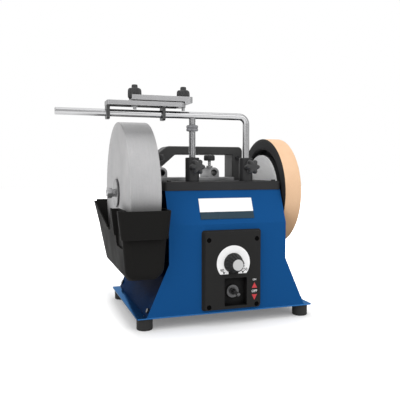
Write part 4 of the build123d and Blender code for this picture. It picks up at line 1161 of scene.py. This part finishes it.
@dataclass
class ControlPanel(SubAssembly):
    """Panel with the speed dial, the toggle switch and their markings."""

    nodes = {
        Shade.PANEL_BLACK: ("control_panel",),
        Shade.COVER_BLACK: ("speed_knob",),
        Shade.SCREW_BLACK: ("panel_screws",),
        Slot.SCALE_WHITE: ("dial_scale",),
        Slot.CAP_GREY: ("knob_cap",),
        Slot.SWITCH_BLACK: ("toggle_switch",),
        Shade.RING_GREY: ("toggle_ring", "toggle_lever"),
        Slot.SWITCH_METAL: ("pot_spindle", "potentiometer"),
        Slot.BOARD_GREEN: ("control_board",),
        Slot.POST_WHITE: ("board_posts",),
    }
    face: float = -0.1215
    print_thickness: float = 0.00008
    stroke: float = 0.00012
    switch_x: float = 0.1035
    on_size: float = 0.0042
    on_height: float = 0.0753
    up_height: float = 0.0658
    off_size: float = 0.0060
    off_height: float = 0.0554
    down_height: float = 0.0449
    arrow_size: Span = (0.0100, 0.0098)
    dial_x: float = 0.0645
    dial_height: float = 0.1060
    scale_thickness: float = 0.0006
    scale_radius: float = 0.0238
    slow_size: float = 0.0070
    fast_size: float = 0.0066
    number_degrees: float = 60.0
    end_size: Span = (0.0046, 0.0040)
    end_degrees: float = 46.0

    def letters(self, text: str, size: float) -> Shape:
        """Draws a short word about its middle.

        Args:
            text: What it says.
            size: Height of the type.

        Returns:
            Vertices and faces.
        """
        curve = bpy.data.curves.new(text, "FONT")
        curve.body = text
        curve.size = size
        curve.align_x = curve.align_y = "CENTER"
        curve.extrude = self.print_thickness / 2
        curve.offset = self.stroke
        draft = put(text, curve)
        bpy.context.view_layer.update()
        drawn = bpy.data.meshes.new_from_object(draft.evaluated_get(bpy.context.evaluated_depsgraph_get()))
        points = [point.co.copy() for point in drawn.vertices]
        faces = [tuple(face.vertices) for face in drawn.polygons]
        bpy.data.objects.remove(draft)
        bpy.data.meshes.remove(drawn)
        bpy.data.curves.remove(curve)
        return points, faces

    def arrow(self, size: Span, way: int) -> Shape:
        """Draws a triangle about its middle.

        Args:
            size: Its width and height.
            way: 1 points up and -1 down.

        Returns:
            Vertices and faces.
        """
        half, tall = size[0] / 2, size[1] * way / 2
        corners = [(-half, -tall), (half, -tall), (0.0, tall)][::way]
        return Skin.tube([[Vector((x, y, z)) for x, y in corners] for z in (0.0, self.print_thickness)])

    def by_switch(self, height: float) -> Vector:
        """Gives the place in line with the switch at a height."""
        return Vector((self.switch_x, self.face, height))

    def on_scale(self, degrees: float) -> Vector:
        """Gives the place on the dial's scale at an angle.

        Args:
            degrees: Angle from straight down towards +X.

        Returns:
            The place.
        """
        angle = math.radians(degrees)
        x = self.dial_x + self.scale_radius * math.sin(angle)
        z = self.dial_height - self.scale_radius * math.cos(angle)
        return Vector((x, self.face - self.scale_thickness, z))

    def build(self) -> list[Object]:
        """Prints the markings of the switch and the dial.

        Returns:
            The words and the triangles.
        """
        white, red, dark = Shade.INK_WHITE, Shade.INK_RED, Shade.INK_DARK
        number, end = self.number_degrees, self.end_degrees
        marks = (
            ("mark_on", white, self.letters("ON", self.on_size), self.by_switch(self.on_height)),
            ("mark_up", red, self.arrow(self.arrow_size, 1), self.by_switch(self.up_height)),
            ("mark_off", white, self.letters("OFF", self.off_size), self.by_switch(self.off_height)),
            ("mark_down", red, self.arrow(self.arrow_size, -1), self.by_switch(self.down_height)),
            ("mark_slow", dark, self.letters("90", self.slow_size), self.on_scale(-number)),
            ("mark_fast", dark, self.letters("150", self.fast_size), self.on_scale(number)),
            ("mark_slow_end", dark, self.arrow(self.end_size, -1), self.on_scale(-end)),
            ("mark_fast_end", dark, self.arrow(self.end_size, -1), self.on_scale(end)),
        )
        return [
            Skin.piece(name, shape, stand(place, FRONT), ink, Body.MACHINE)
            for name, ink, shape, place in marks
        ]


@dataclass
class ToolSupport(SubAssembly):
    """Bent bar on a plain and a threaded leg, with its sleeves, height nut and star knobs."""

    nodes = {
        Slot.CHROME_ROD: ("support_bar", "threaded_leg"),
        Slot.SWITCH_METAL: ("height_adjuster",),
        Slot.SLEEVE_BLACK: ("upright_sleeves",),
        Slot.SCREW_DARK: ("sleeve_nuts",),
    }
    thread_pitch: float = 0.00175
    thread_depth: float = 0.0009
    thread_diameter: float = 0.012
    thread_above_nut: float = 0.012
    knurls: int = 48
    knurl_facets: int = 4
    knurl_depth: float = 0.0006
    nut_chamfer: float = 0.0012
    nut_bore: float = 0.01212
    groove_depth: float = 0.0008
    groove_knurl: float = 0.3
    groove_rim: Span = (0.42, 0.58)
    groove_floor: Span = (0.46, 0.54)
    knob: StarKnob = StarKnob(0.014, 0.008, 0.00125, 0.26, KnobTop.DOMED)

    def leg(self) -> Object:
        """Makes the threaded leg in place of its plain rod.

        Returns:
            The leg.
        """
        low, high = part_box("threaded_leg")
        bar_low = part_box("height_adjuster")[1][2] + self.thread_above_nut
        length = min(high[2] - low[2], bar_low - low[2])
        screw = Thread(self.thread_diameter, length, self.thread_pitch, self.thread_depth)
        foot = stand_in("threaded_leg", UP)
        made = Skin.piece("threaded_leg_screw", screw.shape(), foot, Slot.CHROME_ROD, Body.SUPPORT)
        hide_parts("threaded_leg")
        return made

    def nut(self) -> Object:
        """Makes the knurled height nut in place of its plain ring.

        Returns:
            The nut.
        """
        size = size_of("height_adjuster")
        bore, outer, tall, edge = self.nut_bore / 2, size.x / 2, size.z, self.nut_chamfer
        floor, knurl = outer - self.groove_depth, self.groove_knurl
        profile = [
            (bore, 0.0, 0.0),
            (outer - edge, 0.0, 0.0),
            (outer, 1.0, edge),
            (outer, 1.0, self.groove_rim[0] * tall),
            (floor, knurl, self.groove_floor[0] * tall),
            (floor, knurl, self.groove_floor[1] * tall),
            (outer, 1.0, self.groove_rim[1] * tall),
            (outer, 1.0, tall - edge),
            (outer - edge, 0.0, tall),
            (bore, 0.0, tall),
        ]
        waves = Skin.waves(self.knurls, self.knurl_facets)
        rings = [
            Skin.ring([radius - deep * self.knurl_depth * wave for wave in waves], height)
            for radius, deep, height in profile
        ]
        foot = stand_in("height_adjuster", UP)
        skin = Skin.tube(rings, looped=True)
        made = Skin.piece("height_nut_knurled", skin, foot, Slot.SWITCH_METAL, Body.ADJUSTER)
        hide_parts("height_adjuster")
        return made

    def build(self) -> list[Object]:
        """Makes the leg, the nut and both star knobs.

        Returns:
            The new pieces.
        """
        made = [self.leg(), self.nut()]
        for node, body in (("star_knob_left", Body.STAR_LEFT), ("star_knob_right", Body.STAR_RIGHT)):
            made += self.knob.build(node, body, FRONT)
        return made


@dataclass
class LevelSleeves(SubAssembly):
    """Cast block with two bores for the support lying level, and its clamp knobs."""

    nodes = {Slot.CAST_GREY: ("level_rack",)}
    knob: StarKnob = StarKnob(0.011, 0.006, 0.001)

    def build(self) -> list[Object]:
        """Makes both clamp knobs."""
        left = self.knob.build("level_knob_left", Body.LEVEL_LEFT, UP)
        return left + self.knob.build("level_knob_right", Body.LEVEL_RIGHT, UP)


@dataclass
class StraightEdgeJig(SubAssembly):
    """Blade holder on the bar: base plate, clamp plate and two knobs."""

    nodes = {Shade.JIG_CAST: ("jig_base",), Slot.CAST_GREY: ("jig_clamp",)}
    knob: StarKnob = StarKnob(0.0171, 0.006, 0.001, crown=0.0103, crown_rise=0.0058)

    def build(self) -> list[Object]:
        """Makes both clamp knobs."""
        left = self.knob.build("jig_knob_left", Body.JIG_GRIP_LEFT, UP)
        return left + self.knob.build("jig_knob_right", Body.JIG_GRIP_RIGHT, UP)


def looking(toward: Vector) -> Euler:
    """Gives the turn of a lamp or camera that looks in a direction."""
    return toward.to_track_quat("-Z", "Y").to_euler()


@dataclass(frozen=True)
class Lamp:
    """One soft box of the studio."""

    name: str
    place: Point
    width: float
    height: float
    watts: float
    aim: Point = (0.0, 0.0, 0.2)

    def build(self) -> None:
        """Hangs the lamp."""
        light = bpy.data.lights.new(self.name, "AREA")
        light.shape = "RECTANGLE"
        light.size = self.width
        light.size_y = self.height
        light.energy = self.watts
        lamp = put(self.name, light)
        lamp.location = self.place
        lamp.rotation_euler = looking(Vector(self.aim) - Vector(self.place))


@dataclass
class Studio:
    """White sweep, soft boxes and the camera."""

    eye: Point = (-0.2671, -0.9387, 0.2655)
    yaw: float = 18.42
    pitch: float = 3.44
    lens: float = 47.34
    sensor: float = 36.0
    nearest: float = 0.01
    floor_half: float = 6.0
    floor_color: Color = (0.82, 0.82, 0.82)
    floor_lift: float = 0.18
    floor_reach: Span = (0.055, 0.45)
    ambient_span: Span = (0.0, 0.8)
    ambient: Span = (0.32, 0.95)
    lamps: tuple[Lamp, ...] = (
        Lamp("soft_box_above", (0.1, -0.1, 1.9), 1.8, 1.8, 11.0),
        Lamp("soft_box_left", (-1.5, -1.0, 1.1), 1.2, 1.4, 8.5),
        Lamp("soft_box_front", (0.9, -1.7, 1.2), 1.4, 1.2, 9.5),
    )

    def seen_directly(self, wiring: Wiring) -> NodeSocket:
        """Gives 1 for rays from the camera, from mirrors and through glass, and 0 for the rest.

        Args:
            wiring: The material's or world's wiring.

        Returns:
            The mask's socket.
        """
        path = wiring.lay("LightPath").outputs
        mirror = wiring.sum("MAXIMUM", path["Is Glossy Ray"], path["Is Transmission Ray"])
        return wiring.sum("MAXIMUM", path["Is Camera Ray"], mirror)

    def build_floor(self) -> None:
        """Lays the pale floor, which keeps the machine's shadow."""
        half = self.floor_half
        corners = [(-half, -half, 0.0), (half, -half, 0.0), (half, half, 0.0), (-half, half, 0.0)]
        mesh = bpy.data.meshes.new("floor")
        mesh.from_pydata(corners, [], [(0, 1, 2, 3)])
        put("floor", mesh)
        paper = bpy.data.materials.new("floor_paper")
        paper.use_nodes = True
        paper.node_tree.nodes.clear()
        self.wire_floor(Wiring(paper.node_tree))
        mesh.materials.append(paper)

    def wire_floor(self, wiring: Wiring) -> None:
        """Wires the floor's paper, which turns white away from the machine's base.

        Args:
            wiring: The paper's wiring.
        """
        matt = wiring.lay("BsdfDiffuse", {"Color": self.floor_color})
        parts = wiring.parts(wiring.place())
        beyond = []
        for part, low, high, reach in zip(parts, *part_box("base_plate"), self.floor_reach):
            aside = wiring.sum("ABSOLUTE", wiring.sum("SUBTRACT", part, (low + high) / 2))
            outside = wiring.sum("MAXIMUM", wiring.sum("SUBTRACT", aside, (high - low) / 2), 0.0)
            beyond.append(wiring.sum("DIVIDE", outside, reach))
        off = wiring.lay("CombineXYZ", dict(enumerate(beyond))).outputs[0]
        away = wiring.lay("VectorMath", {0: off}, operation="LENGTH").outputs["Value"]
        paler = wiring.stretch(away, 0.0, 1.0, self.floor_lift, 1.0)
        lift = wiring.sum("MULTIPLY", self.seen_directly(wiring), paler)
        glow = wiring.lay("Emission", {"Strength": lift})
        both = wiring.lay("AddShader", {0: matt.outputs[0], 1: glow.outputs[0]})
        wiring.lay("OutputMaterial", {"Surface": both.outputs[0]})

    def build_world(self) -> None:
        """Surrounds the studio with light that is stronger from above, and a white backdrop."""
        world = bpy.data.worlds.new("studio")
        bpy.context.scene.world = world
        world.use_nodes = True
        world.node_tree.nodes.clear()
        wiring = Wiring(world.node_tree)
        seen = self.seen_directly(wiring)
        height = wiring.parts(wiring.lay("TexCoord").outputs["Generated"])["Z"]
        ambient = wiring.stretch(height, *self.ambient_span, *self.ambient)
        strength = wiring.stretch(seen, 0.0, 1.0, ambient, 1.0)
        sky = wiring.lay("Background", {"Color": (1.0, 1.0, 1.0), "Strength": strength})
        wiring.lay("OutputWorld", {"Surface": sky.outputs[0]})

    def build_camera(self) -> None:
        """Sets the camera at the photograph's viewpoint."""
        data = bpy.data.cameras.new("camera")
        data.lens = self.lens
        data.sensor_width = self.sensor
        data.clip_start = self.nearest
        camera = put("camera", data)
        camera.location = self.eye
        yaw, pitch = math.radians(self.yaw), math.radians(self.pitch)
        level = math.cos(pitch)
        ahead = Vector((math.sin(yaw) * level, math.cos(yaw) * level, -math.sin(pitch)))
        camera.rotation_euler = looking(ahead)
        bpy.context.scene.camera = camera

    def build(self) -> None:
        """Sets up floor, world, lamps, camera and the view transform."""
        self.build_floor()
        self.build_world()
        for lamp in self.lamps:
            lamp.build()
        self.build_camera()
        bpy.context.scene.view_settings.view_transform = "Standard"


def main() -> None:
    """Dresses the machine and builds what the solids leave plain."""
    logging.basicConfig(level=logging.INFO, format="%(message)s")
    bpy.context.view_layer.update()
    for assembly in (
        SpindleLine(),
        Casing(),
        WaterTrough(),
        Drive(),
        ControlPanel(),
        ToolSupport(),
        LevelSleeves(),
        StraightEdgeJig(),
    ):
        assembly.dress()
        pieces = assembly.build()
        log.info("%s has %d new pieces", type(assembly).__name__, len(pieces))
    Studio().build()


if __name__ == "__main__":
    main()
